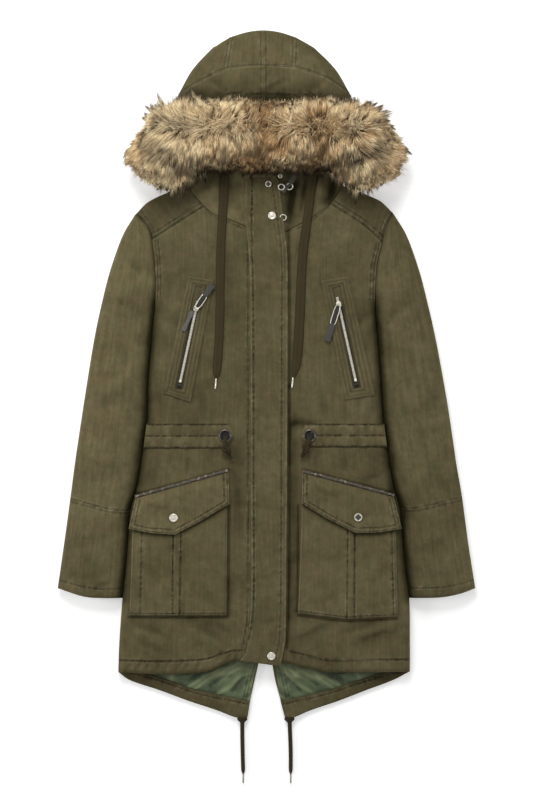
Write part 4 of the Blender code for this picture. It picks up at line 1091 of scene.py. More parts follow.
@made_once("leather")
def leather_look(title, tone=1.0, tint="leather", spot_highlights=False):
    """Grained leather: small cells with creases between them, rubbed paler on the high spots."""
    look = Look(title, Roughness=0.55, Specular_IOR_Level=0.4)
    cells = look.node("TexVoronoi", {"feature": "DISTANCE_TO_EDGE"},
                      {"Vector": look.place(kind="object"), "Scale": 900.0})
    patch = look.noise(120.0, 3.0, kind="object")
    grain = (cells * 6.0).held()
    colour = look.shaded(getattr(colours(), tint), (0.45 + 0.35 * grain + 0.7 * patch) * tone)
    if spot_highlights:
        # Painted highlights: pale random spots
        spots = ((look.noise(230.0, 2.0, kind="object") - 0.54) * 7.0).held()
        colour = look.mix(spots * 0.8, colour, linear(164, 154, 134))
    return look.finish(colour, (0.42 + 0.25 * patch).held(), grain + 0.5 * patch, 0.0003)


@made_once("metal")
def metal_look(title, tint="metal", rough=0.28, shine=0.55):
    """Plated metal: fine brushing, small dents and a trace of tarnish in the hollows."""
    look = Look(title, Metallic=shine)
    brush = look.noise(1.0, 2.0, kind="object", stretch=(1800, 140, 400))
    patch = look.noise(260.0, 3.0, kind="object")
    colour = look.shaded(getattr(colours(), tint), 0.72 + 0.25 * brush + 0.3 * patch)
    return look.finish(colour, (rough - 0.1 + 0.22 * patch + 0.06 * brush).held(), brush + patch, 0.00006)


@made_once("zip_tape")
def tape_look(title):
    """Zip tape: a ribbed weave, dark in the slit beside the teeth."""
    look = Look(title, Roughness=0.9, Specular_IOR_Level=0.1)
    ribs = look.noise(1.0, 2.0, stretch=(300, 1500, 1))
    patch = look.noise(80.0, 2.0, kind="object")
    colour = look.mix(look.attribute("deep").held(0, 0.9), colours().shell, linear(34, 33, 26))
    return look.finish(look.shaded(colour, 0.5 + 0.5 * ribs + 0.4 * patch), 0.7 + 0.2 * ribs, ribs, 0.0003)


@made_once("fur")
def fur_look(title):
    """Fur: each hair runs from a dark root through its own tint to its tip, shaded by its tuft."""
    look = Look(title, Roughness=0.7, Specular_IOR_Level=0.1)
    along, tint = look.attribute("along"), look.attribute("tint")
    dark, guard = look.attribute("dark"), look.attribute("guard")
    body = look.mix(tint.held(), colours().fur_warm, colours().fur_light)
    colour = look.mix((0.85 - along * 2.6).held(), body, colours().fur_root)
    colour = look.mix(((along - 0.62) * 3.2).held() * guard, colour, colours().fur_tip)
    # Dark hairs and painted shade
    colour = look.mix(dark.held(), colour, colours().fur_tip)
    return look.finish(look.shaded(colour, 0.94 + 0.2 * look.noise(35.0, 2.0, kind="object")))


# Stitches

STITCH = np.array([(-0.5, 0, 0), (-0.26, -0.5, 0), (-0.26, 0, 0.42), (-0.26, 0.5, 0),
                   (0.26, -0.5, 0), (0.26, 0, 0.42), (0.26, 0.5, 0), (0.5, 0, 0)])
STITCH_QUADS = [(1, 4, 5, 2), (2, 5, 6, 3), (3, 6, 4, 1)]
STITCH_TRIS = [(0, 1, 2), (0, 2, 3), (0, 3, 1), (7, 5, 4), (7, 6, 5), (7, 4, 6)]


def offset(line, amount):
    """A line moved to its left by an amount that stays the same all along."""
    ahead = unit(np.gradient(line, axis=0))
    return line + amount * np.stack([-ahead[:, 1], ahead[:, 0]], axis=1)


def stitch_rows(name, lines, relief):
    """Joined stitches: along each line, at a relief's height, a small arched lozenge at every pitch."""
    cloth = bpy.context.scene.parka_cloth
    pitch, width = cloth.stitch_pitch / MM, cloth.stitch_width / MM
    centres, axes = [], []
    for line in lines:
        total = run_lengths(line)[-1]
        places = (np.arange(int(total / pitch)) + 0.5) * pitch / total
        middle, before, after = (at(line, np.clip(places + k * pitch / total / 3, 0, 1)) for k in (0, -1, 1))
        ahead = unit(np.column_stack([after - before, relief(*after.T).z - relief(*before.T).z]))
        across = unit(np.cross((0, 0, 1), ahead))
        centres.append(np.column_stack([middle, relief(*middle.T).z + THREAD_LIFT]))
        thick = np.cross(ahead, across) * width * 0.9
        axes.append(np.stack([ahead * 0.68 * pitch, across * width, thick], axis=1))
    shape = repeat(STITCH, STITCH_QUADS, STITCH_TRIS, np.vstack(centres), np.vstack(axes))
    return fitting(name, shape, thread_look(), slot="shell", flat_angle=None)


# Surfaces of the layers


def seam_lines(seams):
    """The rows of stitches of a table of seams."""
    return [offset(smooth(path), row) for path, rows, *_ in seams for row in rows]


def drape(x, y):
    """How far the coat's front layer sinks or rises under whatever lies on it."""
    top = Relief(x, y, 0.0)
    for fold in BODY_FOLDS:
        top.fold(*fold)
    top.crumple()
    return top


def below_armpit(x, y):
    """0 along the armholes' seams and 1 where sleeve and body part."""
    return ease(-y, -150.0, -100.0)


def above_armpit(x, y):
    return 1 - below_armpit(x, y)


# Short slanting puckers of the hem, between its stitches and its edge
HEM_PUCKERS = {
    "left": [[(x + 5, -469), (x, -480), (x - 7, -491)]
             for x in (-226, -209, -196, -178, -163, -144, -131, -112)]
    + [[(x + 4, -455), (x - 2, -466), (x - 7, -477)] for x in (-92, -76, -60, -47)],
    "right": [[(x - 5, -469), (x, -480), (x + 7, -491)] for x in (224, 206, 189, 174, 152, 139, 118, 104)]
    + [[(x - 3, -458), (x + 1, -469), (x + 6, -480)] for x in (88, 71, 56, 45)],
}


def front_relief(side, x, y):
    """The front panel: sewn flat at the armhole, yoke and neck, rounded deeply at its free side and hem."""
    top = drape(x, y)
    top.z += FRONT_TOP
    for seam in FRONT_SEAMS[side]:
        top.seam(*seam)
    outer = chain(side, "armhole", "crease", "crease_forearm", "side")
    top.edge(outer, 4.0, 1.6, wear=0.1, where=above_armpit)
    top.edge(outer, 10.0, 10.5, wear=0.1, where=below_armpit)
    top.crease(chain(side, "armhole", "crease", "crease_forearm"), 10.0, 0.9, where=below_armpit)
    top.edge(chain(side, "yoke"), 3.0, 1.2, wear=0.15)
    top.edge(chain(side, "neck"), 3.0, 1.2, wear=0.0)
    top.crease(chain(side, "neck"), 1.6, 0.6)
    top.edge(chain(side, "hem"), 8.0, 11.0, wear=0.05)
    top.crease(smooth(FRONT_SEAMS[side][0][0]), 1.8, 0.4)
    for path in HEM_PUCKERS[side]:
        top.fold(path, -1.5, 3.4, 0.3)
    for path, reach, amount in FRONT_SHADOWS[side]:
        top.crease(smooth(path), reach, amount)
    top.keep_above(FRONT_LOW)
    return top


def make_fronts():
    for side in SIDES:
        outer = chain(side, "armhole", "crease", "crease_forearm", "side")[::-1]
        hem = chain(side, "hem")
        plan = side_plan(side, hem, straight(hem[-1], NECK_MIDDLE), chain(side, "yoke", "neck"), outer,
                         cell=2.5)
        relief = partial(front_relief, side)
        cloth_piece(f"front_{side}", plan, relief, FRONT_LOW, twill_look())
        stitch_rows(f"front_stitches_{side}", seam_lines(FRONT_SEAMS[side]), relief)


def yoke_relief(side, x, y):
    """The shoulder yoke: flat, falling at the shoulder's edge, with two rows of stitches along its seams."""
    top = drape(x, y)
    top.z += FRONT_TOP
    for seam in YOKE_SEAMS[side]:
        top.seam(*seam)
    top.edge(chain(side, "yoke"), 3.0, 1.2, wear=0.15)
    top.edge(chain(side, "neck_yoke"), 4.0, 1.6, wear=0.05)
    top.edge(chain(side, "armhole_yoke"), 4.0, 1.6, wear=0.05)
    top.edge(chain(side, "shoulder"), 13.0, 11.0, wear=0.05)
    top.keep_above(FRONT_LOW)
    return top


def make_yokes():
    for side in SIDES:
        edges = (chain(side, name) for name in ("yoke", "neck_yoke", "shoulder", "armhole_yoke"))
        bottom, inner, top, outer = edges
        relief = partial(yoke_relief, side)
        # The yokes' cloth is made darker: painted shade
        cloth_piece(f"yoke_{side}", side_plan(side, bottom, inner, top, outer[::-1]), relief, FRONT_LOW,
                    twill_look("yoke", 0.79))
        stitch_rows(f"yoke_stitches_{side}", seam_lines(YOKE_SEAMS[side]), relief)


def sleeve_relief(side, x, y):
    """The top of a sleeve: a broad crown that falls to the outer edge and into the crease beside the body."""
    top = Relief(x, y, SLEEVE_TOP)
    for fold in SLEEVE_FOLDS[side]:
        top.fold(*fold)
    top.crumple(0.9, seed=50)
    for seam in SLEEVE_SEAMS[side]:
        top.seam(*seam)
    seam_line = LINES[side]["forearm_seam"]
    top.edge(seam_line, 2.6, 0.9)
    inner = chain(side, "armhole_yoke", "armhole", "crease", "crease_forearm")
    top.edge(inner, 11.0, 4.2, wear=0.1, where=above_armpit)
    top.crease(inner, 4.0, 0.5, where=above_armpit)
    top.edge(inner, 24.0, 12.0, wear=0.0, where=below_armpit)
    top.crease(inner, 20.0, 0.26, where=below_armpit)
    top.crease(inner, 9.0, 0.85, where=below_armpit)
    outer = chain(side, "outer", "outer_forearm")
    top.edge(outer, 46.0, 12.6, wear=0.0)
    top.edge(outer, 5.0, 1.0, wear=0.25)
    top.edge(chain(side, "cuff"), 7.0, 7.0, wear=0.3)
    top.keep_above(SLEEVE_SPLIT + SEAM_GAP)
    return top


def under_relief(edges, plan, width, high=SLEEVE_SPLIT):
    """The underside of a layer that lies on the surface: flat, and rounded up to its top along some edges."""
    under = Relief(plan.x, plan.y, 0.0)
    for edge in edges:
        under.edge(edge, width, -(high - EDGE_THICK), wear=0.2)
    under.z = np.minimum(under.z, high - EDGE_THICK)
    return under


# Painted light: the left sleeve's cloth is made lighter than the right's, as if lit more from its side
SLEEVE_PAINTED_LIGHT = {"left": 1.14, "right": 1.0}


def make_sleeves():
    for side in SIDES:
        look = twill_look(f"sleeve_{side}", SLEEVE_PAINTED_LIGHT[side], 1.5)
        relief, low = partial(sleeve_relief, side), SLEEVE_SPLIT + SEAM_GAP
        seam, cuff = chain(side, "forearm_seam"), chain(side, "cuff")
        inner, outer = chain(side, "armhole_yoke", "armhole", "crease")[::-1], chain(side, "outer")
        head = straight(outer[0], inner[-1])
        upper = side_plan(side, seam, inner, head, outer[::-1])
        cloth_piece(f"sleeve_upper_{side}", upper, relief, low, look)
        forearm = side_plan(side, cuff, chain(side, "crease_forearm")[::-1], seam,
                            chain(side, "outer_forearm")[::-1])
        cloth_piece(f"sleeve_forearm_{side}", forearm, relief, low, look)
        inner = chain(side, "armhole_yoke", "armhole", "crease", "crease_forearm")[::-1]
        outer = chain(side, "outer", "outer_forearm")[::-1]
        tucked = inner - (0.6 * WAY[side], 0.0)
        under = side_plan(side, cuff, tucked, head, outer, cell=7.0, rim=COARSE_RIM, gap=0.02)
        cloth_piece(f"sleeve_under_{side}", under, under_relief([tucked, outer], under, 13.0), SLEEVE_SPLIT,
                    look, upside_down=True)
        stitch_rows(f"sleeve_stitches_{side}", seam_lines(SLEEVE_SEAMS[side]), relief)


# Painted light: the left collar's cloth is made lighter, lifting the fur's shadow on it
COLLAR_PAINTED_LIGHT = {"left": 1.32, "right": 1.0}
COLLAR_FOLDS = {
    "left": [
        ([(-118, 300), (-96, 318), (-80, 350)], -2.2, 12, 0.3),
        ([(-60, 262), (-66, 290), (-60, 330)], -1.8, 11, -0.3),
        ([(-40, 262), (-46, 290), (-42, 330)], -1.4, 7, 0.2),
    ],
    "right": [
        ([(34, 244), (40, 276), (48, 330)], -5.0, 12, 0.3),
        ([(98, 276), (107, 300), (112, 330)], -4.0, 11, -0.2),
        ([(82, 268), (89, 296), (88, 330)], 1.6, 6, 0.2),
        ([(54, 256), (62, 290), (66, 336)], -2.4, 7, -0.3),
    ],
}


def collar_relief(side, x, y):
    """The hood's lower front, sinking in soft hollows from the neck seam up under the fur."""
    top = drape(x, y)
    top.z += FRONT_TOP
    for fold in COLLAR_FOLDS[side]:
        top.fold(*fold)
    top.edge(chain(side, "neck"), 3.0, 1.4, wear=0.1)
    top.edge(chain(side, "neck_yoke"), 4.0, 2.0, wear=0.1)
    top.crease(chain(side, "collar_top"), 22.0, 0.35 if side == "right" else 0.06)
    if side == "right":
        top.crease(smooth([(37, 240), (41, 280), (47, 336)]), 11.0, 0.55)
        top.crease(smooth([(103, 284), (108, 300), (112, 330)]), 11.0, 0.8)
        top.crease(smooth([(78, 318), (84, 330), (94, 344)]), 8.0, 0.6)
        top.crease(smooth([(60, 300), (64, 318), (70, 344)]), 8.0, 0.4)
    else:
        top.crease(smooth([(-68, 306), (-66, 322), (-62, 344)]), 6.0, 0.3)
    top.keep_above(FRONT_LOW)
    return top


def make_collars():
    for side in SIDES:
        outer, top = chain(side, "neck_yoke", "hood_edge"), chain(side, "collar_top")
        plan = side_plan(side, chain(side, "neck"), straight(NECK_MIDDLE, top[-1]), top, outer)
        cloth_piece(f"collar_{side}", plan, partial(collar_relief, side), FRONT_LOW,
                    twill_look(f"collar_{side}", COLLAR_PAINTED_LIGHT[side]))


def tail_top(x, y):
    """The top of the back: its full height, stepping down where the tails come out under the front hem."""
    return TAIL_WALL + (WALL - TAIL_WALL) * ease(y, -452.0, -430.0)


def make_backs():
    """The backs: rounded below, and flat above with a step down to the tails."""
    for side in SIDES:
        outer = chain(side, "armhole_yoke", "armhole", "crease", "crease_forearm", "tail_side")[::-1]
        tail, vent = chain(side, "tail"), chain(side, "vent")
        plan = side_plan(side, tail, np.vstack([vent, straight((0, 288))]),
                         chain(side, "shoulder", "back_neck"), outer, cell=7.0, rim=COARSE_RIM, gap=0.02)
        top = Relief(plan.x, plan.y, tail_top(plan.x, plan.y))
        top.edge(tail, 3.0, 1.0, wear=0.3)
        top.edge(vent, 3.0, 1.0, wear=0.4)
        under = Relief(plan.x, plan.y, 0.0)
        under.edge(outer, 12.0, -8.4, wear=0.2)
        under.z = np.minimum(under.z, top.z - EDGE_THICK)
        points = np.vstack([np.column_stack([plan.x.ravel(), plan.y.ravel(), z.ravel()])
                            for z in (top.z, under.z)])
        quads, rim, half = grid_quads(*plan.x.shape), rim_of(*plan.x.shape), plan.x.size
        walls = np.stack([rim + half, np.roll(rim, -1) + half, np.roll(rim, -1), rim], axis=1)
        wear = np.concatenate([top.wear.ravel(), under.wear.ravel()])
        shape = (points, np.vstack([quads, quads[:, ::-1] + half, walls]))
        piece = fitting(f"back_{side}_cloth", shape, twill_look(), f"back_{side}", "shell",
                        uv=np.tile(plan.uv.reshape(-1, 2), (2, 1)), values=dict(wear=wear, deep=0 * wear))


LINING_FOLDS = {
    "left": [
        ([(-196, -470), (-150, -490), (-112, -516)], 1.0, 5, 0.3),
        ([(-150, -472), (-112, -486), (-80, -512)], 1.0, 5, -0.3),
        ([(-104, -474), (-78, -492), (-56, -520)], 1.0, 6, 0.2),
        ([(-66, -476), (-56, -496), (-44, -520)], 1.4, 4, 0.0),
        ([(-206, -486), (-170, -492), (-140, -506)], 1.2, 4, 0.0),
    ],
    "right": [
        ([(188, -472), (140, -488), (104, -512)], 1.0, 5, 0.3),
        ([(130, -472), (104, -490), (76, -520)], 1.0, 5, -0.3),
        ([(96, -472), (66, -486), (40, -496)], 1.0, 6, 0.3),
        ([(70, -478), (50, -500), (36, -528)], 1.0, 5, 0.2),
        ([(196, -486), (160, -496), (128, -510)], 1.2, 4, 0.0),
    ],
}


LINING_CREASES = {
    "left": [[(-36, -500), (-46, -510), (-57, -522)], [(-60, -498), (-76, -503), (-92, -514)],
             [(-72, -476), (-84, -482), (-92, -486)], [(-112, -482), (-126, -490), (-140, -494)]],
    "right": [[(36, -503), (47, -512), (56, -522)], [(58, -503), (72, -506), (86, -514)],
              [(66, -475), (76, -483), (87, -485)], [(104, -484), (116, -491), (130, -492)]],
}


def facing_relief(side, x, y):
    """The hem's facing: a padded band, rounded at both edges and puckered by its row of stitches."""
    top = Relief(x, y, TAIL_WALL + SEAM_GAP + 2.6)
    top.crumple(1.1, seed=80)
    # Darker all over, in random spots and towards both ends, through the painted shade mask
    top.deep += 0.06 + 0.16 * np.clip(lattice(x, y, 9.0, 82), 0, 1) + 0.30 * ease(np.abs(x), 110, 200)
    for seam in TAIL_SEAMS[side]:
        top.seam(*seam)
    top.edge(LINES[side]["tail"], 6.0, 2.0, wear=0.1)
    top.edge(LINES[side]["facing_top"], 3.5, 1.5, wear=0.1)
    top.crease(LINES[side]["facing_top"], 5.0, 0.3)
    top.keep_above(TAIL_WALL + SEAM_GAP)
    return top


def lining_relief(side, x, y):
    """The lining: slack cloth in long wrinkles that run from the front hem to the facing."""
    way = WAY[side]
    top = Relief(x, y, TAIL_WALL + SEAM_GAP + 2.0)
    for fold in LINING_FOLDS[side]:
        top.fold(*fold)
    for path in LINING_CREASES[side]:
        top.fold(path, -1.6, 2.8, 0.3)
        top.crease(smooth(path), 3.2, 0.75)
    top.seam([(way * 20, -472), (way * 29, -505), (way * 36, -538)], rows=(-2.4, 2.4))
    ahead, across = -0.82 * way * x + 0.57 * y, 0.82 * y + 0.57 * way * x
    bend = 5.0 * lattice(x, y, 26.0, 98)
    wave = 1 - 2.6 * np.abs(lattice(0.22 * ahead, across + bend, 12.0, 96))
    fine = 1 - 2.4 * np.abs(lattice(0.35 * ahead, across + bend, 5.0, 97))
    top.z += 1.1 * wave + 0.4 * fine
    # Painted highlights on the wrinkles' tops and painted shade in their hollows
    top.wear += 0.8 * np.clip(wave - 0.25, 0, 1) + 0.3 * np.clip(fine - 0.3, 0, 1)
    top.deep += 0.6 * np.clip(-wave, 0, 1)
    top.crumple(0.8, seed=95)
    top.edge(chain(side, "facing_top"), 4.0, 1.6, wear=0.0)
    top.crease(chain(side, "facing_top"), 4.0, 0.5)
    top.crease(chain(side, "hem"), 14.0, 0.6)
    top.edge(chain(side, "vent"), 3.0, 1.4, wear=0.5)
    top.keep_above(TAIL_WALL + SEAM_GAP)
    return top


def make_tails():
    low = TAIL_WALL + SEAM_GAP
    for side in SIDES:
        way, edge = WAY[side], chain(side, "facing_top")
        hem = chain(side, "tail") + (-way * 1.0, 1.0)
        hem[0] = edge[0] + (way * 6, -8)
        band = side_plan(side, hem, straight(hem[-1], edge[-1]), edge, straight(hem[0], edge[0]),
                         cell=FINE_CELL)
        facing = partial(facing_relief, side)
        cloth_piece(f"hem_facing_{side}", band, facing, low, twill_look())
        top = straight((edge[0][0], -469), (way * 11, -469))
        vent = smooth([edge[-1], (edge[-1][0] - way * 5.5, -505), top[-1]])
        area = side_plan(side, edge, vent, top, straight(edge[0], top[0]), cell=FINE_CELL)
        cloth_piece(f"lining_{side}", area, partial(lining_relief, side), low, lining_look())
        stitch_rows(f"tail_stitches_{side}", seam_lines(TAIL_SEAMS[side]), facing)


def hood_relief(x, y):
    """The hood: a dome that falls to its outer edge, seamed into panels."""
    top = Relief(x, y, HOOD_TOP)
    for fold in HOOD_FOLDS:
        top.fold(*fold)
    top.crumple(0.9, seed=33)
    for seam in HOOD_SEAMS:
        top.seam(*seam)
    crown = np.vstack([smooth(BRIM_LEFT), hood_crown()[1:], smooth(BRIM_RIGHT)[::-1][1:]])
    top.edge(crown, 62.0, 11.0, wear=0.0)
    top.edge(crown, 9.0, 4.6, wear=0.2)
    top.crease(crown, 14.0, 0.2)
    top.crease(straight((-158, 440), (-75, 452), (0, 454), (75, 452), (150, 440)), 19.0, 0.75)
    for side in SIDES:
        top.edge(chain(side, "hood_seam"), 2.8, 1.1)
    top.edge(hood_seam_line(), 3.0, 1.2)
    top.keep_above(FRONT_LOW)
    return top


def hood_crown():
    """The hood's outer edge above its brim, from left to right."""
    left, right = chain("left", "hood_side", "crown"), chain("right", "hood_side", "crown")
    return np.vstack([left, smooth(HOOD_CENTRE_CROWN)[1:], right[::-1][1:]])


def hood_seam_line():
    """The seam between the hood's brim and its crown panels, from left to right."""
    return np.vstack([LINES["left"]["brim"], smooth(HOOD_CENTRE_FRONT)[1:], LINES["right"]["brim"][::-1][1:]])


def make_hood():
    left, right = LINES["left"], LINES["right"]
    # The hood's cloth is made a little lighter: painted light
    look = twill_look("hood", 1.06, 1.2)
    brims = {"left": smooth(BRIM_LEFT), "right": smooth(BRIM_RIGHT)}
    plans = {"hood_centre": Plan(smooth(HOOD_CENTRE_FRONT), right["hood_seam"], smooth(HOOD_CENTRE_CROWN),
                                 left["hood_seam"])}
    for side, lines in LINES.items():
        plans[f"hood_side_{side}"] = side_plan(side, lines["brim"], lines["hood_seam"], lines["crown"],
                                               lines["hood_side"])
    plans["hood_brim"] = Plan(smooth(BRIM_LOWER), brims["right"], hood_seam_line(), brims["left"])
    for node, plan in plans.items():
        cloth_piece(node, plan, hood_relief, FRONT_LOW, look)
    stitch_rows("hood_stitches", seam_lines(HOOD_SEAMS), hood_relief)

    neck = np.vstack([left["back_neck"], right["back_neck"][::-1][1:]])
    edges = {side: np.vstack([LINES[side]["hood_edge"], brims[side][1:]]) for side in SIDES}
    plan = Plan(neck, edges["right"], hood_crown(), edges["left"], cell=7.0, rim=COARSE_RIM)
    under = under_relief([edges["left"], hood_crown(), edges["right"]], plan, 12.0, high=WALL)
    cloth_piece("hood_back", plan, under, WALL, look, upside_down=True)


PLACKET_SEAMS = [
    ([(-22.8, 324), (-24.6, 250), (-22.4, 122), (-21.6, -158), (-21.8, -380), (-36, -462)],
     (0,), 0.6, 0.0, 0.9),
    ([(9, 316), (16.8, 262), (24.2, 201), (25.4, 122), (24.4, -158), (22.6, -409), (14, -470)],
     (0,), 0.5),
    ([(-30, 322), (-12, 323), (9, 322)], (0,), 0.3),
]
PLACKET_FOLDS = [
    ([(-20, 246), (-4, 230), (12, 222)], -1.5, 5, 0.2),
    ([(-18, 150), (0, 142), (20, 140)], -0.9, 6, 0.0),
    ([(4, 44), (8, 24), (14, 6)], -1.0, 5, 0.0),
    ([(-20, -60), (0, -72), (24, -70)], -1.0, 7, 0.2),
    ([(-20, -216), (2, -222), (24, -216)], -0.9, 6, 0.0),
    ([(-20, -330), (0, -336), (22, -330)], -0.8, 7, 0.0),
    ([(-24, -400), (0, -412), (22, -404)], -1.1, 8, 0.2),
]


def placket_relief(x, y):
    """The storm placket: sewn down flush on its left, free and crisp on its right."""
    top = drape(x, y)
    top.z = 0.75 * top.z + PLACKET_TOP
    for fold in PLACKET_FOLDS:
        top.fold(*fold)
    for seam in PLACKET_SEAMS:
        top.seam(*seam)
    top.edge(smooth(PLACKET_LEFT), 5.0, 3.2, wear=0.5)
    top.edge(smooth(PLACKET_RIGHT), 2.4, 1.5, wear=0.8)
    top.edge(smooth(PLACKET_HEAD), 2.6, 1.6, wear=0.6)
    top.edge(straight(PLACKET_LEFT[0], PLACKET_RIGHT[0]), 4.0, 2.0, wear=0.2)
    top.keep_above(ON_FRONT)
    return top


def on_front(x, y):
    """The underside of what lies on the coat's front."""
    return ON_FRONT + np.minimum(drape(x, y).z, 0.0)


def make_placket():
    foot = straight(PLACKET_LEFT[0], PLACKET_RIGHT[0])
    plan = Plan(foot, smooth(PLACKET_RIGHT), smooth(PLACKET_HEAD), smooth(PLACKET_LEFT))
    cloth_piece("placket", plan, placket_relief, on_front, twill_look())
    stitch_rows("placket_stitches", seam_lines(PLACKET_SEAMS), placket_relief)


def waist_lines(side):
    """The channel's lower and upper edge and its inner end, and its three rows of stitches."""
    sizes = WAIST[side]
    low, high = straight(*sizes["low"]), straight(*sizes["high"])
    rows = [low + (0, 1.6), (low + high) / 2, high - (0, 1.6)]
    return low, high, straight(low[-1], sizes["tip"], high[-1]), rows


def waist_relief(side, x, y):
    """A gathered channel: a swell between each two rows of stitches, with random waves across it."""
    low, high, inner, rows = waist_lines(side)
    top = drape(x, y)
    top.z = 0.6 * top.z + ON_FRONT + 1.4
    share = (y - low[:, 1].mean()) / (high[:, 1].mean() - low[:, 1].mean())
    tunnel = np.abs(np.sin(2 * np.pi * np.clip(share, 0, 1))) ** 0.6
    gather = lattice(x, 0.25 * y, 7.5, 61) + 0.6 * lattice(x, 0.3 * y, 3.9, 62)
    top.z += tunnel * (1.6 + 0.75 * gather)
    # Painted highlights on the gathers and painted shade between them
    top.wear += 0.12 * np.clip(gather, 0, 1) * tunnel
    top.deep += 0.20 * np.clip(-gather, 0, 1) * tunnel
    for line in rows:
        top.seam(line, pucker=0.8, groove=0.65, seed=64)
    for line in (low, high):
        top.edge(line, 2.4, 0.9, wear=0.0)
        top.crease(line, 1.6, 0.5)
    top.edge(inner, 2.6, 1.2, wear=0.1)
    top.keep_above(on_front(x, y) - 0.6)
    return top


def make_waist():
    for side in SIDES:
        low, high, inner, rows = waist_lines(side)
        relief = partial(waist_relief, side)
        plan = side_plan(side, low, inner, high, straight(low[0], high[0]), cell=FINE_CELL)
        cloth_piece(f"waist_channel_{side}", plan, relief, on_front, twill_look())
        stitch_rows(f"waist_stitches_{side}", rows, relief)


HIP_FOLDS = [
    ([(212, -300), (190, -330), (170, -350)], -1.4, 9),
    ([(132, -290), (108, -306), (78, -300)], -1.2, 9),
    ([(128, -350), (100, -372), (74, -370)], -1.2, 10),
    ([(200, -378), (180, -386), (160, -384)], -0.9, 6),
]


def bag_lines(side):
    """The bag's bottom, inner, top and outer edge, its pleat strip's sides and its inner stitches."""
    bottom, top = straight(*HIP[side]["bottom"]), straight(*HIP[side]["top"])
    upright = [straight(bottom[k], top[k]) for k in (-1, 0, 2, 5, 1)]
    return bottom, upright[0], top, upright[1], upright[2:4], upright[4]


def bag_relief(side, x, y):
    """The bag: flat topped, with a raised pleat strip and crisp edges."""
    way = WAY[side]
    bottom, inner, _, outer, strip, row = bag_lines(side)
    top = drape(x, y)
    top.z = 0.5 * top.z + POCKET_TOP - 1.4
    for path, height, width in HIP_FOLDS:
        top.fold([(way * px, py) for px, py in path], height, width)
    for k, line in enumerate(strip):
        away, _ = measure(line, x, y)
        over = away if (k == 0) == (side == "left") else -away
        top.z += 0.9 * ease(-over, -0.8, 1.2) * ease(12.0 + over, -1, 1)
        top.seam(line, pucker=0.6, groove=0.7, seed=70 + k)
        top.crease(line, 1.7, 0.3)
        top.edge(line, 2.2, 0.5, wear=0.3)
    top.seam(row, pucker=0.6, groove=0.8)
    top.seam(bottom + (0, 3.4))
    for line in (bottom, inner, outer):
        top.edge(line, 3.4, 3.6, wear=0.3)
    top.crease(straight(*HIP[side]["flap_low"]), 6.0, 0.8)
    top.keep_above(on_front(x, y))
    return top


def make_hip_pockets():
    for side in SIDES:
        bottom, inner, top, outer, strip, row = bag_lines(side)
        relief, inset = partial(bag_relief, side), (WAY[side] * 3.0, 0)
        plan = side_plan(side, bottom, inner, top, outer, cell=2.1)
        # The bags' cloth is made a little lighter: painted light
        cloth_piece(f"hip_pocket_{side}", plan, relief, on_front, twill_look("pocket", 1.08))
        lines = strip + [row, bottom + (0, 3.4), inner + inset, outer - inset]
        stitch_rows(f"hip_pocket_stitches_{side}", lines, relief)
        make_hip_flap(side)


# The flap's underside, its rows of stitches as distances from its edge, its painted light (the left flap's
# cloth made lighter) and its folds
FLAP_LOW = POCKET_TOP + SEAM_GAP
FLAP_ROWS = (2.2, 8.0)
FLAP_PAINTED_LIGHT = {"left": 1.24, "right": 1.0}
FLAP_FOLDS = {
    "left": [([(-200, -224), (-170, -232), (-130, -226)], -0.9, 8),
             ([(-110, -200), (-92, -212), (-76, -206)], -0.8, 7),
             ([(-196, -214), (-176, -222), (-150, -220)], -1.1, 4.0, -0.3)],
    "right": [([(200, -224), (170, -232), (130, -226)], -0.9, 8),
              ([(110, -200), (92, -212), (76, -206)], -0.8, 7),
              ([(78, -174), (84, -190), (97, -199), (122, -205)], -1.7, 3.6, 0.3)],
}


def flap_lines(side):
    """The flap's lower, inner, upper and outer edge, and its free border from outer to inner corner."""
    low, high = straight(*HIP[side]["flap_low"]), straight(*HIP[side]["flap_high"])
    inner, outer = straight(low[-1], high[-1]), straight(low[0], high[0])
    return low, inner, high, outer, np.vstack([outer[::-1], low[1:], inner[1:]])


def flap_fall(side, x, y):
    """How far the flap, level over the bag, falls to the front along its upper edge."""
    away, _ = measure(flap_lines(side)[2], x, y, reach=20.0)
    return FLAP_FALL * ease(FLAP_SLOPE - np.abs(away), 0.0, FLAP_SLOPE)


def flap_under(side, x, y):
    """The flap's underside."""
    return FLAP_LOW - flap_fall(side, x, y)


def flap_relief(side, x, y):
    """The flap: crisp along its pointed border, with two rows of stitches and a dip round its snap."""
    border, snap = flap_lines(side)[-1], HIP[side]["snap"]
    top = Relief(x, y, FLAP_LOW + FLAP_THICK)
    for fold in FLAP_FOLDS[side]:
        top.fold(*fold)
    top.crumple(0.7, seed=77)
    top.z -= flap_fall(side, x, y)
    for k, amount in enumerate(FLAP_ROWS):
        top.seam(offset_border(border, -WAY[side] * amount), seed=90 + k, rounded=False)
    top.edge(border, 2.4, 1.7, wear=0.55)
    away, _ = measure(straight(snap, (snap[0] + 0.1, snap[1])), x, y)
    top.z -= 0.9 * np.exp(-(away / 9.0) ** 2)
    return top


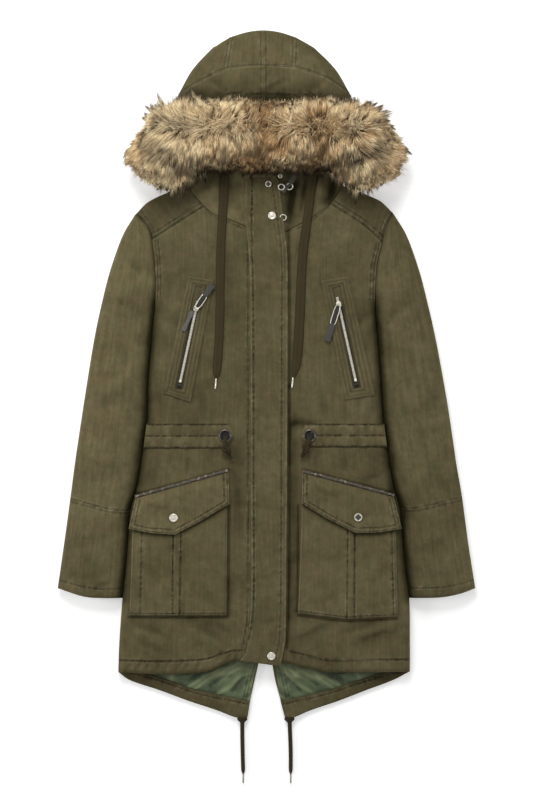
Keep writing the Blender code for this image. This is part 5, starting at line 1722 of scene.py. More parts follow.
def make_hip_flap(side):
    """The flap: a thick crisp wall with a pointed edge, two rows of stitches and piping along its top."""
    low, inner, high, outer, border = flap_lines(side)
    under = partial(flap_under, side)
    plan = side_plan(side, low, inner, high, outer, cell=1.5)
    relief = flap_relief(side, plan.x, plan.y)
    relief.z = np.maximum(relief.z, under(plan.x, plan.y) + EDGE_THICK)
    cloth_piece(f"hip_flap_{side}", plan, relief, under, twill_look(f"flap_{side}", FLAP_PAINTED_LIGHT[side]))
    rows = [offset_border(border, -WAY[side] * amount) for amount in FLAP_ROWS]
    stitch_rows(f"hip_flap_stitches_{side}", rows, partial(flap_relief, side))

    start, end = high
    run = (end - start) / np.linalg.norm(end - start)
    across = np.array((-run[1], run[0]))
    places = np.linspace(0, 1, 90)
    path = np.column_stack([start + (end - start) * places[:, None] + across * 3.0 * np.sign(run[0]),
                            np.full(90, ON_FRONT + 2.6)])
    path[:, 2] += 0.5 * lattice(places * 150, 0 * places, 5.0, 41)
    path[:, :2] += 0.5 * lattice(places * 150, 0 * places, 6.5, 43)[:, None] * across
    radius = 2.6 + 0.55 * lattice(places * 150, 0 * places, 3.2, 42)
    tube_piece(f"hip_piping_{side}_roll", path, radius, leather_look("piping", 0.95, "piping", spot_highlights=True),
               f"hip_piping_{side}", "leather")
    snap_cap(f"hip_snap_{side}", (*HIP[side]["snap"], FLAP_LOW + FLAP_THICK + SEAM_GAP), 7.0, side == "right")


def offset_border(border, amount):
    """A line of straight runs moved sideways: each run is moved, and neighbours meet where they cross."""
    ahead = unit(np.diff(border, axis=0))
    across = np.stack([-ahead[:, 1], ahead[:, 0]], axis=1)
    both = np.vstack([across[:1], across]) + np.vstack([across, across[-1:]])
    return border + amount * both * 2 / np.maximum(np.sum(both * both, axis=1, keepdims=True), 1.0)


# Fittings


def snap_cap(node, centre, radius, ring=False):
    """A snap: a turned cap with a rolled rim and a shallow dish, or a bright ring round a dark middle."""
    rim = [(0.96, 0.0), (1.0, 0.35), (1.0, 0.8), (0.97, 1.25), (0.9, 1.6), (0.8, 1.7), (0.7, 1.55),
           (0.64, 1.3)]
    dish = [(0.6, 1.28), (0.42, 1.62), (0.2, 1.85), (0.03, 1.92)]
    if ring:
        rim = [(0.90, 0.0), (0.96, 0.3), (0.96, 1.2), (0.93, 1.6), (0.88, 1.7), (0.84, 1.4), (0.83, 0.9)]
        dish = [(0.5, 0.8), (0.03, 0.8)]
    turned_piece(f"{node}_cap", centre, [(r * radius, z) for r, z in rim + dish], metal_look(), node)
    if ring:
        facets = [(0.81 * radius, 0.0), (0.76 * radius, 0.4), (0.3 * radius, 0.7), (0.03 * radius, 0.8)]
        turned_piece(f"{node}_cap_heart", (centre[0], centre[1], centre[2] + 0.9), facets,
                     metal_look("black_metal", "leather", 0.4, 0.2), slot="dark_metal", sides=4)


def make_snaps():
    for name, x, y, radius in (("top", 3, 313, 5.4), ("neck", 9, 261, 6.4), ("hem", 8, -465, 6.6)):
        lift = placket_relief(np.array([float(x)]), np.array([float(y)])).z[0]
        z = max(PLACKET_TOP + SEAM_GAP, lift) - 0.3
        snap_cap(f"placket_snap_{name}", (x, y, z), radius, ring=name == "top")
    make_neck_tab()


def ring_piece(name, centre, major, minor, look, tilt=0.0, sides=48):
    """A wire ring: a circle tipped up about the X axis, with a round section."""
    angle = np.linspace(0, 2 * np.pi, sides, endpoint=False)
    y = major * np.sin(angle)
    path = np.column_stack([major * np.cos(angle), np.cos(tilt) * y, np.sin(tilt) * y]) + np.array(centre)
    return mesh_object(name, *closed_tube(path, minor), look=look, flat_angle=None)


# Rings: name, centre, the wire's circle and its own radius, and how far the ring is tipped up
NECK_RINGS = [
    ("neck_ring_wire", (38, 309, 26.6), 5.2, 0.9, 0.25),
    ("neck_ring_inner", (24.5, 308, 29.0), 5.0, 0.9, 0.5),
    ("neck_ring_lower", (27.5, 258, 26.4), 5.0, 0.8, 0.4),
    ("neck_hook", (22.5, 326, 29.4), 2.7, 0.8, 0.4),
]
NECK_STRAP = [(48, 336, 30.0), (44, 322, 29.4), (38, 314, 28.0), (30, 306, 26.4), (26, 300, 25.4)]


def make_neck_tab():
    """Rings of the neck tab beside the placket, and the strap that runs up from them under the fur."""
    for name, *sizes, tilt in NECK_RINGS:
        piece = ring_piece(name, *sizes, metal_look(), tilt=tilt)
        join_coat(piece, "neck_ring" if name == "neck_ring_wire" else ())
    section = np.array([(4.0, 0.0), (3.7, -0.8), (-3.7, -0.8), (-4.0, 0.0), (-3.7, 0.8), (3.7, 0.8)])
    rings = sweep(at(smooth(NECK_STRAP), np.linspace(0, 1, 30)), section[None])
    fitting("neck_strap", loft(rings), leather_look("neck_leather", 0.70, "piping"), (), "leather",
            uv=along_uv(rings))


def frame_piece(name, outer, inner, low, high, look, nodes):
    """A flat frame: its profile, round at both edges, carried round from the outer to the inner loop."""
    lips = [tuple(0.86 * np.array(inner[k]) + 0.14 * np.array(inner[m])) for k, m in enumerate((1, 0, 3, 2))]
    outer, inner = straight(*outer, outer[0]), straight(*lips, lips[0])
    places = np.concatenate([k + np.linspace(0, 1, 24, endpoint=False) for k in range(4)])
    loops = [np.stack([np.interp(places, np.arange(5), c) for c in loop.T], 1) for loop in (outer, inner)]
    profile = [(0.0, 0.0), (0.0, 0.55), (0.05, 0.85), (0.14, 1.0), (0.3, 0.92), (0.5, 1.0), (0.7, 0.92),
               (0.86, 1.0), (0.95, 0.85), (1.0, 0.55), (1.0, 0.0)]
    rows = []
    for share, up in profile:
        plan = loops[0] * (1 - share) + loops[1] * share
        bumps = 0.25 * lattice(plan[:, 0], plan[:, 1], 5.0, 31) if 0.1 < share < 0.9 else 0.0
        rows.append(np.column_stack([plan, low + (high - low) * up + bumps + drape(*plan.T).z * 0.8]))
    grid = np.array(rows)
    count, around = grid.shape[:2]
    quads = wrapped_quads(count, around)
    run = run_lengths(np.vstack([loops[0], loops[0][:1]]))[:-1]
    uv = np.stack(np.broadcast_arrays(np.array([p[0] for p in profile])[:, None] * 0.015, run[None] * MM), -1)
    # Paler on the rounded shoulders, as wear and painted highlights; painted shade at the feet and in the
    # grooves
    wear = np.broadcast_to(np.array([0, 0.3, 0.35, 0.15, 0, 0.1, 0, 0.1, 0.3, 0.2, 0])[:, None],
                           (count, around))
    deep = np.broadcast_to(np.array([0.8, 0.3, 0, 0, 0.3, 0, 0.3, 0, 0.3, 0.7, 1.0])[:, None],
                           (count, around))
    piece = mesh_object(name, grid.reshape(-1, 3), quads, look=look, uv=uv.reshape(-1, 2),
                        values=dict(wear=wear, deep=deep))
    return join_coat(piece, nodes)


ZIP_PITCH = 2.5
ZIP_STRIP = [(-122, 104, 26.6), (-137, 71, 25.6)]
TOOTH = np.array([(-0.42, -1.0, 0), (0.42, -1.0, 0), (0.5, 0.2, 0), (-0.5, 0.2, 0), (0.3, 1.0, 0),
                  (-0.3, 1.0, 0), (-0.3, -1.0, 0.7), (0.3, -1.0, 0.7), (0.36, 0.2, 1.0), (-0.36, 0.2, 1.0),
                  (0.2, 1.0, 0.8), (-0.2, 1.0, 0.8)])
TOOTH_QUADS = [(0, 3, 2, 1), (3, 5, 4, 2), (6, 7, 8, 9), (9, 8, 10, 11), (0, 1, 7, 6), (1, 2, 8, 7),
               (2, 4, 10, 8), (4, 5, 11, 10), (5, 3, 9, 11), (3, 0, 6, 9)]


def welt_top(x, y):
    """The height on which the welts' stitches lie."""
    top = drape(x, y)
    top.z = ON_FRONT + 2.0 + 0.8 * top.z
    return top


def make_chest_pockets():
    for side in SIDES:
        sizes = CHEST[side]
        outer, inner = sizes["outer"], sizes["inner"]
        frame_piece(f"chest_welt_{side}_frame", outer, inner, ON_FRONT, ON_FRONT + 2.2, twill_look(),
                    f"chest_welt_{side}")
        loops = [straight(*outer, outer[0]) * (1 - share) + straight(*inner, inner[0]) * share
                 for share in (0.10, 0.80)]
        stitch_rows(f"chest_stitches_{side}", loops, welt_top)

        low, high = straight(inner[0], inner[1]), straight(inner[3], inner[2])
        plan = Plan(low, straight(low[-1], high[-1]), high, straight(low[0], high[0]), cell=FINE_CELL)
        tape = Relief(plan.x, plan.y, ON_FRONT + 0.6)
        middle = straight((low[0] + low[1]) / 2, (high[0] + high[1]) / 2)
        away, _ = measure(middle, plan.x, plan.y)
        below_slider = ease(-plan.y, -sizes["slider"][1] - 2, 4 - sizes["slider"][1])
        tape.z += 0.6 * np.exp(-(away / 3.0) ** 2)
        # A little darker all over, and the painted shadow of the slit along the middle below the slider
        tape.deep += 0.25 + np.exp(-(away / 4.0) ** 2) * below_slider
        cloth_piece(f"chest_zip_{side}", plan, tape, ON_FRONT - 0.2, tape_look(), part="tape")
        make_zip(side, sizes, middle)
    make_zip_strip()


def make_zip_strip():
    """A short leather strap that hangs beside the left zip."""
    start, end = np.array(ZIP_STRIP, float)
    length = np.linalg.norm(end - start)
    ahead = (end - start) / length
    across = np.cross((0, 0, 1.0), ahead)
    share = np.linspace(0, 1, 24)

    def laid(points):
        return start + points[:, :1] * ahead + points[:, 1:2] * across + (0, 0, 1) * points[:, 2:]
    strap("zip_strip", share * length, 3.4 + 0.3 * np.sin(9 * share), 1.1 + 0 * share, laid,
          leather_look("strip_leather", 1.9), BODY)


def zip_line(sizes, middle):
    """The line of the teeth, from below the slider to the bottom stop, and its direction."""
    start = np.array(sizes["slider"], float)
    end = middle[0] + (middle[1] - middle[0]) * 0.075
    run = end - start
    return start, end, run / np.linalg.norm(run)


def make_zip(side, sizes, middle):
    """Teeth: small wedges set alternately on both sides of the zip's line, with a stop at the bottom."""
    start, end, run = zip_line(sizes, middle)
    across = np.array((-run[1], run[0]))
    length = np.linalg.norm(end - start)
    count = int(length / ZIP_PITCH)
    base = ON_FRONT + 1.1
    centres, axes = [], []
    for sign, shift in ((1, 0.0), (-1, 0.5)):
        places = (np.arange(count) + shift + 0.4) * ZIP_PITCH
        places = np.concatenate([places, -6.0 - np.arange(3) * ZIP_PITCH])
        spots = start + run * places[:, None] + across * sign * 0.75
        centres.append(np.column_stack([spots, np.full(len(spots), base)]))
        frame_axes = np.stack([(*(-run * 2.2 * sign), 0), (*(-across * sign * 1.35), 0), (0, 0, 1.5)])
        axes.append(np.broadcast_to(frame_axes, (len(spots), 3, 3)))
    points, quads, _ = repeat(TOOTH, TOOTH_QUADS, np.zeros((0, 3), int), np.vstack(centres), np.vstack(axes))
    fitting(f"zip_teeth_{side}", (points, quads), metal_look("zip_metal", "metal", 0.25), (), "metal",
            flat_angle=30.0)
    stop = rounded_block((*end, base + 1.0), (4.6, 4.6, 2.6), run, 0.45)
    fitting(f"zip_stop_{side}", stop, metal_look(), (), "metal", flat_angle=40.0)
    tack = rounded_block((*(end + run * 6.0), base + 0.8), (4.0, 9.0, 1.6), run, 0.3)
    fitting(f"zip_tack_{side}", tack, leather_look("dark_leather", 0.45), (), "leather", flat_angle=40.0)
    make_slider(side, sizes, run)


def rounded_block(centre, size, run, bend, steps=14):
    """A block with soft edges: a ball squared off by raising its sines and cosines to a small power."""
    u = np.linspace(-np.pi / 2, np.pi / 2, steps)[:, None]
    v = np.linspace(-np.pi, np.pi, 2 * steps, endpoint=False)[None]
    cos_u, sin_u, cos_v, sin_v = (np.sign(wave) * np.abs(wave) ** (2 * bend)
                                  for wave in (np.cos(u), np.sin(u), np.cos(v), np.sin(v)))
    local = np.stack(np.broadcast_arrays(cos_u * cos_v, cos_u * sin_v, sin_u), -1) * np.array(size) / 2
    ahead = np.array((run[0], run[1], 0.0))
    axes = np.stack([ahead, np.cross((0, 0, 1), ahead), (0, 0, 1)])
    rings = np.einsum("rsk,kc->rsc", local[1:-1], axes) + np.array(centre)
    return loft(rings)


def make_slider(side, sizes, zip_run):
    """The slider: two plates with a waist, a bridge with ears, in bright metal."""
    x, y = sizes["slider"]
    base = ON_FRONT + 1.6
    parts = [rounded_block((x, y, base + 0.9), (9.5, 8.2, 1.8), zip_run, 0.3),
             rounded_block((x, y, base + 2.6), (9.0, 7.2, 1.6), zip_run, 0.3)]
    pull = np.array(sizes["pull_end"], float) - (x, y)
    pull /= np.linalg.norm(pull)
    across = np.array((-pull[1], pull[0]))
    for sign in (-1, 1):
        spot = np.array((x, y)) + across * sign * 3.4
        parts.append(rounded_block((*spot, base + 5.0), (5.0, 1.3, 5.0), pull, 0.35))
    fitting(f"chest_slider_{side}_body", join_arrays(parts), metal_look(), f"chest_slider_{side}", "metal",
            flat_angle=40.0)
    make_pull(side, sizes)


def pull_frame(sizes):
    """Where the pull hangs: its axis point, its directions along, across and up, and its length."""
    start, end = np.array(sizes["slider"], float), np.array(sizes["pull_end"], float)
    length = np.linalg.norm(end - start)
    run = (end - start) / length
    axis_z = ON_FRONT + 1.3 + SEAM_GAP + 3.0 + 0.4 + 1.8
    tilt = math.asin((axis_z - (ON_FRONT + 1.7 + SEAM_GAP) - 1.0) / length)
    ahead = np.array((run[0] * math.cos(tilt), run[1] * math.cos(tilt), -math.sin(tilt)))
    across = np.array((-run[1], run[0], 0.0))
    return np.array((*start, axis_z)), ahead, across, np.cross(ahead, across), length


def make_pull(side, sizes):
    """The pull: a barrel between the ears, a long wire loop from it, and a leather tab over the loop."""
    origin, ahead, across, up, length = pull_frame(sizes)
    body = f"pull_{side}"

    def carried(points):
        points = np.asarray(points, float)
        return origin + points[..., :1] * ahead + points[..., 1:2] * across + points[..., 2:] * up
    loop_end = length * 0.55
    angle = np.linspace(0, 2 * np.pi, 56, endpoint=False)
    corner = np.abs(np.cos(angle)) ** 0.35 * np.sign(np.cos(angle))
    flank = np.abs(np.sin(angle)) ** 0.5 * np.sign(np.sin(angle))
    half = 3.5 + 0.9 * ease(corner, -0.95, -0.4)
    loop = np.stack([1.2 + (loop_end - 1.2) * (corner + 1) / 2, flank * half, 0 * angle], 1)
    barrel = sweep(np.linspace(-2.3, 2.3, 6)[:, None] * np.array((0, 1.0, 0)), circle(1.3, 12)[None])
    points, quads, tris = join_arrays([(*closed_tube(loop, 0.8, 10), ()), loft(barrel)])
    fitting(f"chest_pull_{side}_loop", (carried(points), quads, tris), metal_look(), f"chest_pull_{side}",
            "metal", body, flat_angle=40.0)

    # A ribbed tongue inside the loop, and the tab that goes on beyond it
    share = np.linspace(0, 1, 34)
    ribs = 0.35 * np.sin(share * 2 * np.pi * 9)
    strap(f"pull_tongue_{side}", 3.4 + (loop_end - 3.0) * share, 2.7 + 0 * share, 0.95 + ribs, carried,
          leather_look("dark_leather", 0.45), body)
    ends = 1 - 0.3 * ease(np.abs(share - 0.5), 0.42, 0.5)
    strap(f"pull_tab_{side}", loop_end - 1.0 + (length - loop_end + 1.0) * share, (5.0 + 0.5 * share) * ends,
          1.35 + 0.12 * np.sin(share * 14), carried, leather_look(), body)


def strap(name, reach, half, thick, carried, look, body):
    """A flat strap along its first axis: at each reach a rounded section, half wide and thick high."""
    section = np.array([(1, 0), (0.92, -0.6), (-0.92, -0.6), (-1, 0), (-0.92, 0.8), (-0.6, 1), (0.6, 1),
                        (0.92, 0.8)])
    rings = np.stack(np.broadcast_arrays(reach[:, None], half[:, None] * section[:, 0],
                                         thick[:, None] * section[:, 1]), -1)
    points, quads, tris = loft(rings[:, ::-1])
    return fitting(name, (carried(points), quads, tris), look, (), "leather", body, flat_angle=40.0)


# Cords


def declare_cord(path):
    """Say that a piece is a cord along a path in millimetres, of which every so many points are given."""
    run_lengths(path)[-1] * MM


def make_hood_cords():
    """Flat braids: a lens section that keeps its width until it is gathered into the metal end."""
    turn = -2 * np.pi * np.arange(20) / 20
    ridge = 1 + 0.08 * np.cos(4 * turn)
    lens = 1.45 * ridge * np.sign(np.sin(turn)) * np.abs(np.sin(turn)) ** 0.7
    for side in SIDES:
        line = smooth([(p["x"], p["y"], p["half"]) for p in HOOD_CORD[side]], 14)
        x, y, half = at(line, np.linspace(0, 1, 140)).T
        path = np.column_stack([x, y, ON_FRONT + 1.5 + np.minimum(drape(x, y).z, 0) * 0.4])
        gathered = 0.75 + 0.25 * ease(half, 2.0, 6.0)
        rings = sweep(path, np.stack([half[:, None] * np.cos(turn), lens * gathered[:, None]], axis=-1))
        piece = fitting(f"hood_cord_{side}_braid", loft(rings), ribbon_look(), f"hood_cord_{side}", "cord",
                        uv=along_uv(rings))
        tip = cord_end(f"hood_cord_{side}_end", [(*p, ON_FRONT + TIP_RADIUS) for p in HOOD_TIP[side]],
                       f"hood_cord_tip_{side}")
        declare_cord(path)


def cord_end(name, points, node, radius=1.25, tint="metal"):
    """A metal cord end: a tube crimped near its top, closing to a rounded point."""
    start, end = np.array(points[0], float), np.array(points[1], float)
    share = np.array([0, 0.02, 0.1, 0.16, 0.2, 0.26, 0.6, 0.9, 0.97, 1.0])
    size = np.array([0.75, 1.0, 1.0, 0.8, 0.8, 1.0, 0.97, 0.93, 0.7, 0.3]) * radius
    look = metal_look() if tint == "metal" else metal_look("worn_metal", tint, 0.4)
    return tube_piece(name, start + (end - start) * share[:, None], size, look, node, "metal")


def make_hem_cords():
    """Round braids out of the tails' points, each with a knot at the hem and a metal end."""
    z = HEM_CORD_RADIUS + SEAM_GAP
    share = np.linspace(0, 1, 60)
    closing = np.clip((share - 0.9) * 10, 0, 1)
    radius = HEM_CORD_RADIUS * (0.98 - 0.06 * share) * np.sqrt(1 - 0.82 * closing ** 2)
    for side in SIDES:
        path = at(smooth([(x, y, z) for x, y in HEM_CORD[side]], 16), share)
        piece = tube_piece(f"hem_cord_{side}_braid", path, radius, cord_look(), f"hem_cord_{side}", "cord",
                           sides=16)
        x, y = HEM_CORD[side][-1]
        tip = cord_end(f"hem_cord_{side}_end", [(x, y - SEAM_GAP, z), (x, y - HEM_TIP_LENGTH, z)],
                       f"hem_cord_tip_{side}", radius=1.6, tint="worn_metal")
        centre = (path[0][0], path[0][1] - 3.0, 5.6)
        knot = knot_piece(f"hem_knot_{side}", centre, 4.6, 2.9, (1.35, 0.75, 0.62))
        declare_cord(path)


def knot_piece(name, centre, size, radius, stretch, turn=0.0):
    """An overhand knot: a tube along a trefoil, flattened."""
    t = np.linspace(0, 2 * np.pi, 72, endpoint=False)
    path = np.stack([np.sin(t) + 2 * np.sin(2 * t), np.cos(t) - 2 * np.cos(2 * t), -np.sin(3 * t)], 1) / 3
    path *= np.array(stretch) * size
    c, s = math.cos(turn), math.sin(turn)
    path = path @ np.array([(c, s, 0), (-s, c, 0), (0, 0, 1)]) + np.array(centre)
    run = np.arange(len(path)) * 0.0012
    uv = np.stack(np.broadcast_arrays(np.arange(12)[None] / 12, run[:, None]), -1).reshape(-1, 2)
    return fitting(name, closed_tube(path, radius), cord_look(), (), "cord", uv=uv, flat_angle=None)


def make_waist_cords():
    """Out of each eyelet a cord bends over the rim; a flat knot sits on it and its end hangs out below."""
    for side in SIDES:
        sizes = WAIST[side]
        x, y = sizes["eyelet"]
        ring = ring_piece(f"waist_eyelet_{side}_ring", (x, y, ON_FRONT + 4.8), 9.3, 1.65,
                          metal_look("eyelet_metal", "dark_metal", 0.3, 0.9), sides=56)
        join_coat(ring, f"waist_eyelet_{side}")
        # A black disc inside the ring: painted shade in the hole
        turned_piece(f"waist_hole_{side}", (x, y, ON_FRONT + 3.2), [(8.0, 0), (8.0, 0.8), (0.1, 0.3)],
                     leather_look("black_leather", 0.16), slot="cord", sides=32)
        path = at(smooth(np.array(sizes["cord"], float), 12), np.linspace(0, 1, 40))
        piece = tube_piece(f"waist_cord_{side}_braid", path, 3.1, cord_look(), f"waist_cord_{side}", "cord")
        run = path[-1] - path[12]
        knot = knot_piece(f"waist_knot_{side}", path[19] + (0, 0, 0.4), 5.6, 3.3, (1.55, 0.85, 0.55),
                          math.atan2(run[1], run[0]))
        declare_cord(path)


# Fur


def fur_stations(count=241):
    """The roll's upper and lower edge and height along it, from the left end to the mirrored right one."""
    far = [dict(upper=(2 * FUR_MIDDLE - s["upper"][0], s["upper"][1]),
                lower=(2 * FUR_MIDDLE - s["lower"][0], s["lower"][1]), height=s["height"])
           for s in FUR[-2::-1]]
    table = smooth([(*s["upper"], *s["lower"], s["height"]) for s in FUR + far], 12)
    middle = (table[:, :2] + table[:, 2:4]) / 2
    run = run_lengths(middle)
    places = np.linspace(0, run[-1], count)
    return np.stack([np.interp(places, run, column) for column in table.T], 1)


def roll_point(table, t, turn, size):
    """A point of the roll: t along it from 0 to 1, turn round it from the upper edge over to the lower.

    The section is an ellipse between the two edges, resting on the hood, shrunk about its middle by size.
    """
    places = np.linspace(0, 1, len(table))
    ux, uy, lx, ly, height = (np.interp(t, places, column) for column in table.T)
    side = np.cos(turn) * size
    x = (ux + lx) / 2 + (ux - lx) / 2 * side
    y = (uy + ly) / 2 + (uy - ly) / 2 * side
    up = np.where(np.sin(turn) > 0, 0.40 + 0.60 * np.sin(turn) * size, 0.40 + 0.40 * np.sin(turn) * size)
    return np.stack([x, y, HOOD_TOP + SEAM_GAP + height * up], axis=-1)


def make_fur():
    """Fur in three stretches of hairs over a dark core; each hair is a three-sided spike on a parabola."""
    sizes = bpy.context.scene.parka_fur
    table = fur_stations()
    turns = np.linspace(0, 2 * np.pi, 28, endpoint=False)
    core = loft(roll_point(table, np.linspace(0.004, 0.996, 90)[:, None], turns[None], 0.60))
    # The core shows between the hairs: root colour darkened as painted shade
    values = {name: np.full(len(core[0]), value)
              for name, value in (("along", 0.3), ("tint", 0.2), ("dark", 0.45), ("guard", 0.0))}
    fitting("fur_core", core, fur_look(), "fur_trim", "fur", values=values)
    bounds = (0.0, 0.335, 0.665, 1.0)
    for k, name in enumerate(("left", "middle", "right")):
        hair_piece(f"fur_{name}", table, sizes, bounds[k], bounds[k + 1], seed=101 + k)


# The parting that the hair leans away from, the painted shadow band under the roll, and darker and browner
# places
FUR_PARTING = [(-151, 407), (-60, 411), (40, 405), (138, 397)]
FUR_SHADOW_BAND = [(-187, 360), (-171, 354), (-154, 345), (-130, 338), (-90, 333), (-40, 330), (-2, 329), (72, 333),
            (112, 341), (142, 347), (163, 355), (184, 369)]
FUR_DARK_SPOTS = [(-176, 418, 9), (-157, 409, 12), (-139, 404, 10), (-112, 407, 10), (-60, 399, 13),
                  (-20, 401, 10),
                  (-9, 444, 13), (-194, 369, 8), (83, 402, 15), (148, 413, 8), (181, 408, 10), (126, 400, 8),
                  (142, 392, 9), (84, 370, 13)]
FUR_BROWN_SPOTS = [(-4, 432, 32), (84, 402, 22), (86, 366, 24), (150, 440, 26), (0, 362, 50), (-140, 360, 18)]
FUR_DIP = (22.0, 34.0)
FUR_LOCKS = [(128, 312, 14)]


def fur_height(table, x, y):
    """The roll's height over points of the plan, and their share of the way from its middle to its edge.

    Inside it is the section's ellipse; outside it falls away as an exponential.
    """
    middle = (table[:, :2] + table[:, 2:4]) / 2
    away, place = measure(middle[::4], x, y, reach=160.0)
    share = place / run_lengths(middle[::4])[-1]
    places = np.linspace(0, 1, len(table))
    half = np.interp(share, places, np.hypot(*(table[:, :2] - table[:, 2:4]).T) / 2)
    height = np.interp(share, places, table[:, 4])
    off = np.abs(away) / half
    inside = 0.40 + 0.60 * np.sqrt(np.clip(1 - off ** 2, 0, 1))
    outside = 0.40 * np.exp(-np.clip(np.abs(away) - half, 0, None) / 24.0)
    return HOOD_TOP + SEAM_GAP + height * np.where(off < 1, inside, outside), off, half


def blot(x, y, spots):
    """The sum of round bell curves, each given by its middle and radius."""
    return sum(np.exp(-((x - cx) ** 2 + (y - cy) ** 2) / radius ** 2) for cx, cy, radius in spots)


def fur_flow(x, y):
    """The way the hair lies in plan: straight away from the parting, turned by two sizes of smooth noise."""
    parting = smooth(FUR_PARTING)
    _, place = measure(parting, x, y, reach=200.0)
    foot = at(parting, place / run_lengths(parting)[-1])
    dx = x - foot[:, 0] + 8 * lattice(x, y, 24.0, 5)
    dy = y - foot[:, 1] + 8 * lattice(x, y, 21.0, 6)
    size = np.maximum(np.hypot(dx, dy), 1e-6)
    turn = np.arctan2(dy, dx) + 0.42 * lattice(x, y, 34.0, 7) + 0.22 * lattice(x, y, 13.0, 8)
    return np.cos(turn), np.sin(turn), size


def hair_piece(name, table, sizes, start, stop, seed):
    """Hairs rooted on the roll's inner section; each runs out and along the flow to the outer section."""
    rng = np.random.default_rng(seed)
    wanted = sizes.hairs
    places = np.linspace(0, 1, len(table))
    t = rng.uniform(start, stop, wanted * 4)
    spread = np.interp(t, places, np.hypot(*(table[:, :2] - table[:, 2:4]).T)) + 26
    t = t[rng.uniform(0, spread.max(), len(t)) < spread][:wanted]
    count = len(t)
    turn = rng.uniform(-0.40, np.pi + 0.42, count)
    root = roll_point(table, t, turn, 0.66)
    under = np.clip(-np.sin(turn), 0, 1) > 0

    # Tufts in two sizes: the nearest tuft's own hair sets length and lends its tip
    x, y = root[:, 0], root[:, 1]
    east, north, size = fur_flow(x, y)
    scatter = rng.normal(0, 0.12, count)
    east, north = (east * np.cos(scatter) - north * np.sin(scatter),
                   north * np.cos(scatter) + east * np.sin(scatter))
    big, small = (nearest_of(root, rng.choice(count, n, replace=False))
                  for n in (sizes.clumps // 4, sizes.clumps))
    reach = sizes.length / MM * rng.uniform(0.72, 1.12, count) * rng.uniform(0.80, 1.22, count)[small]
    reach *= 0.80 + 0.20 * ease(size, 4, 26)
    crossing = (size < 12) & (rng.uniform(0, 1, count) < 0.30)
    east, north = np.where(crossing, -east, east), np.where(crossing, -north, north)
    stray = rng.uniform(0, 1, count) < 0.16
    reach *= np.where(stray, rng.uniform(1.1, 1.5, count), 1.0)
    travel = 0.88 * reach
    tip_x, tip_y = x + east * travel, y + north * travel
    _, off, half = fur_height(table, tip_x, tip_y)
    middle = 1 - ease(np.abs(tip_x - FUR_MIDDLE), 105, 150)
    spare = rng.uniform(-11, 9, count)[small] + rng.normal(0, 2.2, count) - 2.5 * middle
    long_tuft = (rng.uniform(0, 1, count) < 0.28)[small]
    spare += np.where(long_tuft, 9.0 * (1 - 0.7 * middle) * (1 - 0.7 * ease(-tip_x, 190, 222)), 0.0)
    spare -= 5.0 * ease(-tip_x, 195, 225)
    spare -= 13.0 * np.exp(-((tip_x - FUR_DIP[0]) / FUR_DIP[1]) ** 2) * (north > 0)
    spare += np.where(stray, rng.uniform(4, 18, count) * (1 - 0.6 * middle), 0.0)
    spare += 8.0 * blot(tip_x, tip_y, FUR_LOCKS)
    edge_gap = (off - 1) * half
    over = np.clip(edge_gap - spare, 0, None)
    tip_x, tip_y = tip_x - east * over, tip_y - north * over
    lie, _, _ = fur_height(table, tip_x, tip_y)
    tip_z = np.where(under, np.minimum(root[:, 2], lie) - 4.0, lie + rng.normal(1.0, 2.6, count))
    tip = np.column_stack([tip_x, tip_y, tip_z])
    outer = ease(edge_gap, -12, 0)[:, None]
    for nearest, least, most, keep, point in ((big, 0.05, 0.30, 0.28, 0.0), (small, 0.35, 0.90, 0.13, 0.75)):
        pull = rng.uniform(least, most, count)[:, None] * np.where(stray, 0.2, 1.0)[:, None]
        pull += (0.97 - pull) * point * outer * np.where(stray, 0.5, 1.0)[:, None]
        tip = tip * (1 - pull) + (tip[nearest] + keep * (root - root[nearest])) * pull
    knee = root + np.column_stack([east, north, 0 * east]) * (0.34 * reach)[:, None]
    rise, _, _ = fur_height(table, knee[:, 0], knee[:, 1])
    knee[:, 2] = np.where(under, root[:, 2], np.maximum(root[:, 2] + 5, rise + rng.uniform(1, 7, count)))
    knee[:, :2] += rng.normal(0, 1.2, (count, 2))
    low, top = HOOD_TOP + 1.0, frame_ceiling()
    tip[:, 2] = np.clip(tip[:, 2], low, top)
    knee[:, 2] = np.clip(knee[:, 2], low, top + 4)

    # Three-sided spikes along the parabola through root, knee and tip
    width = sizes.width / MM * rng.uniform(0.6, 1.25, count) * np.where(stray, 0.7, 1.0)
    chord = tip - root
    chord /= np.maximum(np.linalg.norm(chord, axis=1, keepdims=True), 1e-6)
    one = np.cross(chord, rng.normal(0, 1, (count, 3)))
    one /= np.maximum(np.linalg.norm(one, axis=1, keepdims=True), 1e-6)
    two = np.cross(chord, one)
    points, shares = [], (0.0, 0.5)
    for s, wide in zip(shares, (1.0, 0.85)):
        spot = (1 - s) ** 2 * root + 2 * s * (1 - s) * knee + s * s * tip
        for k in range(3):
            angle = 2 * np.pi * k / 3
            aside = one * math.cos(angle) + two * math.sin(angle)
            points.append(spot + aside * (width * wide / 2)[:, None])
    points.append(tip)
    points = np.stack(points, axis=1)
    quads = [(0, 1, 4, 3), (1, 2, 5, 4), (2, 0, 3, 5)]
    tris = [(3, 4, 6), (4, 5, 6), (5, 3, 6), (2, 1, 0)]
    shift = (np.arange(count) * 7)[:, None, None]
    hair_quads = (np.array(quads)[None] + shift).reshape(-1, 4)
    hair_tris = (np.array(tris)[None] + shift).reshape(-1, 3)

    along = np.tile(np.array([0.0] * 3 + [0.5] * 3 + [1.0]), (count, 1))
    tuft = rng.uniform(-1, 1, count)
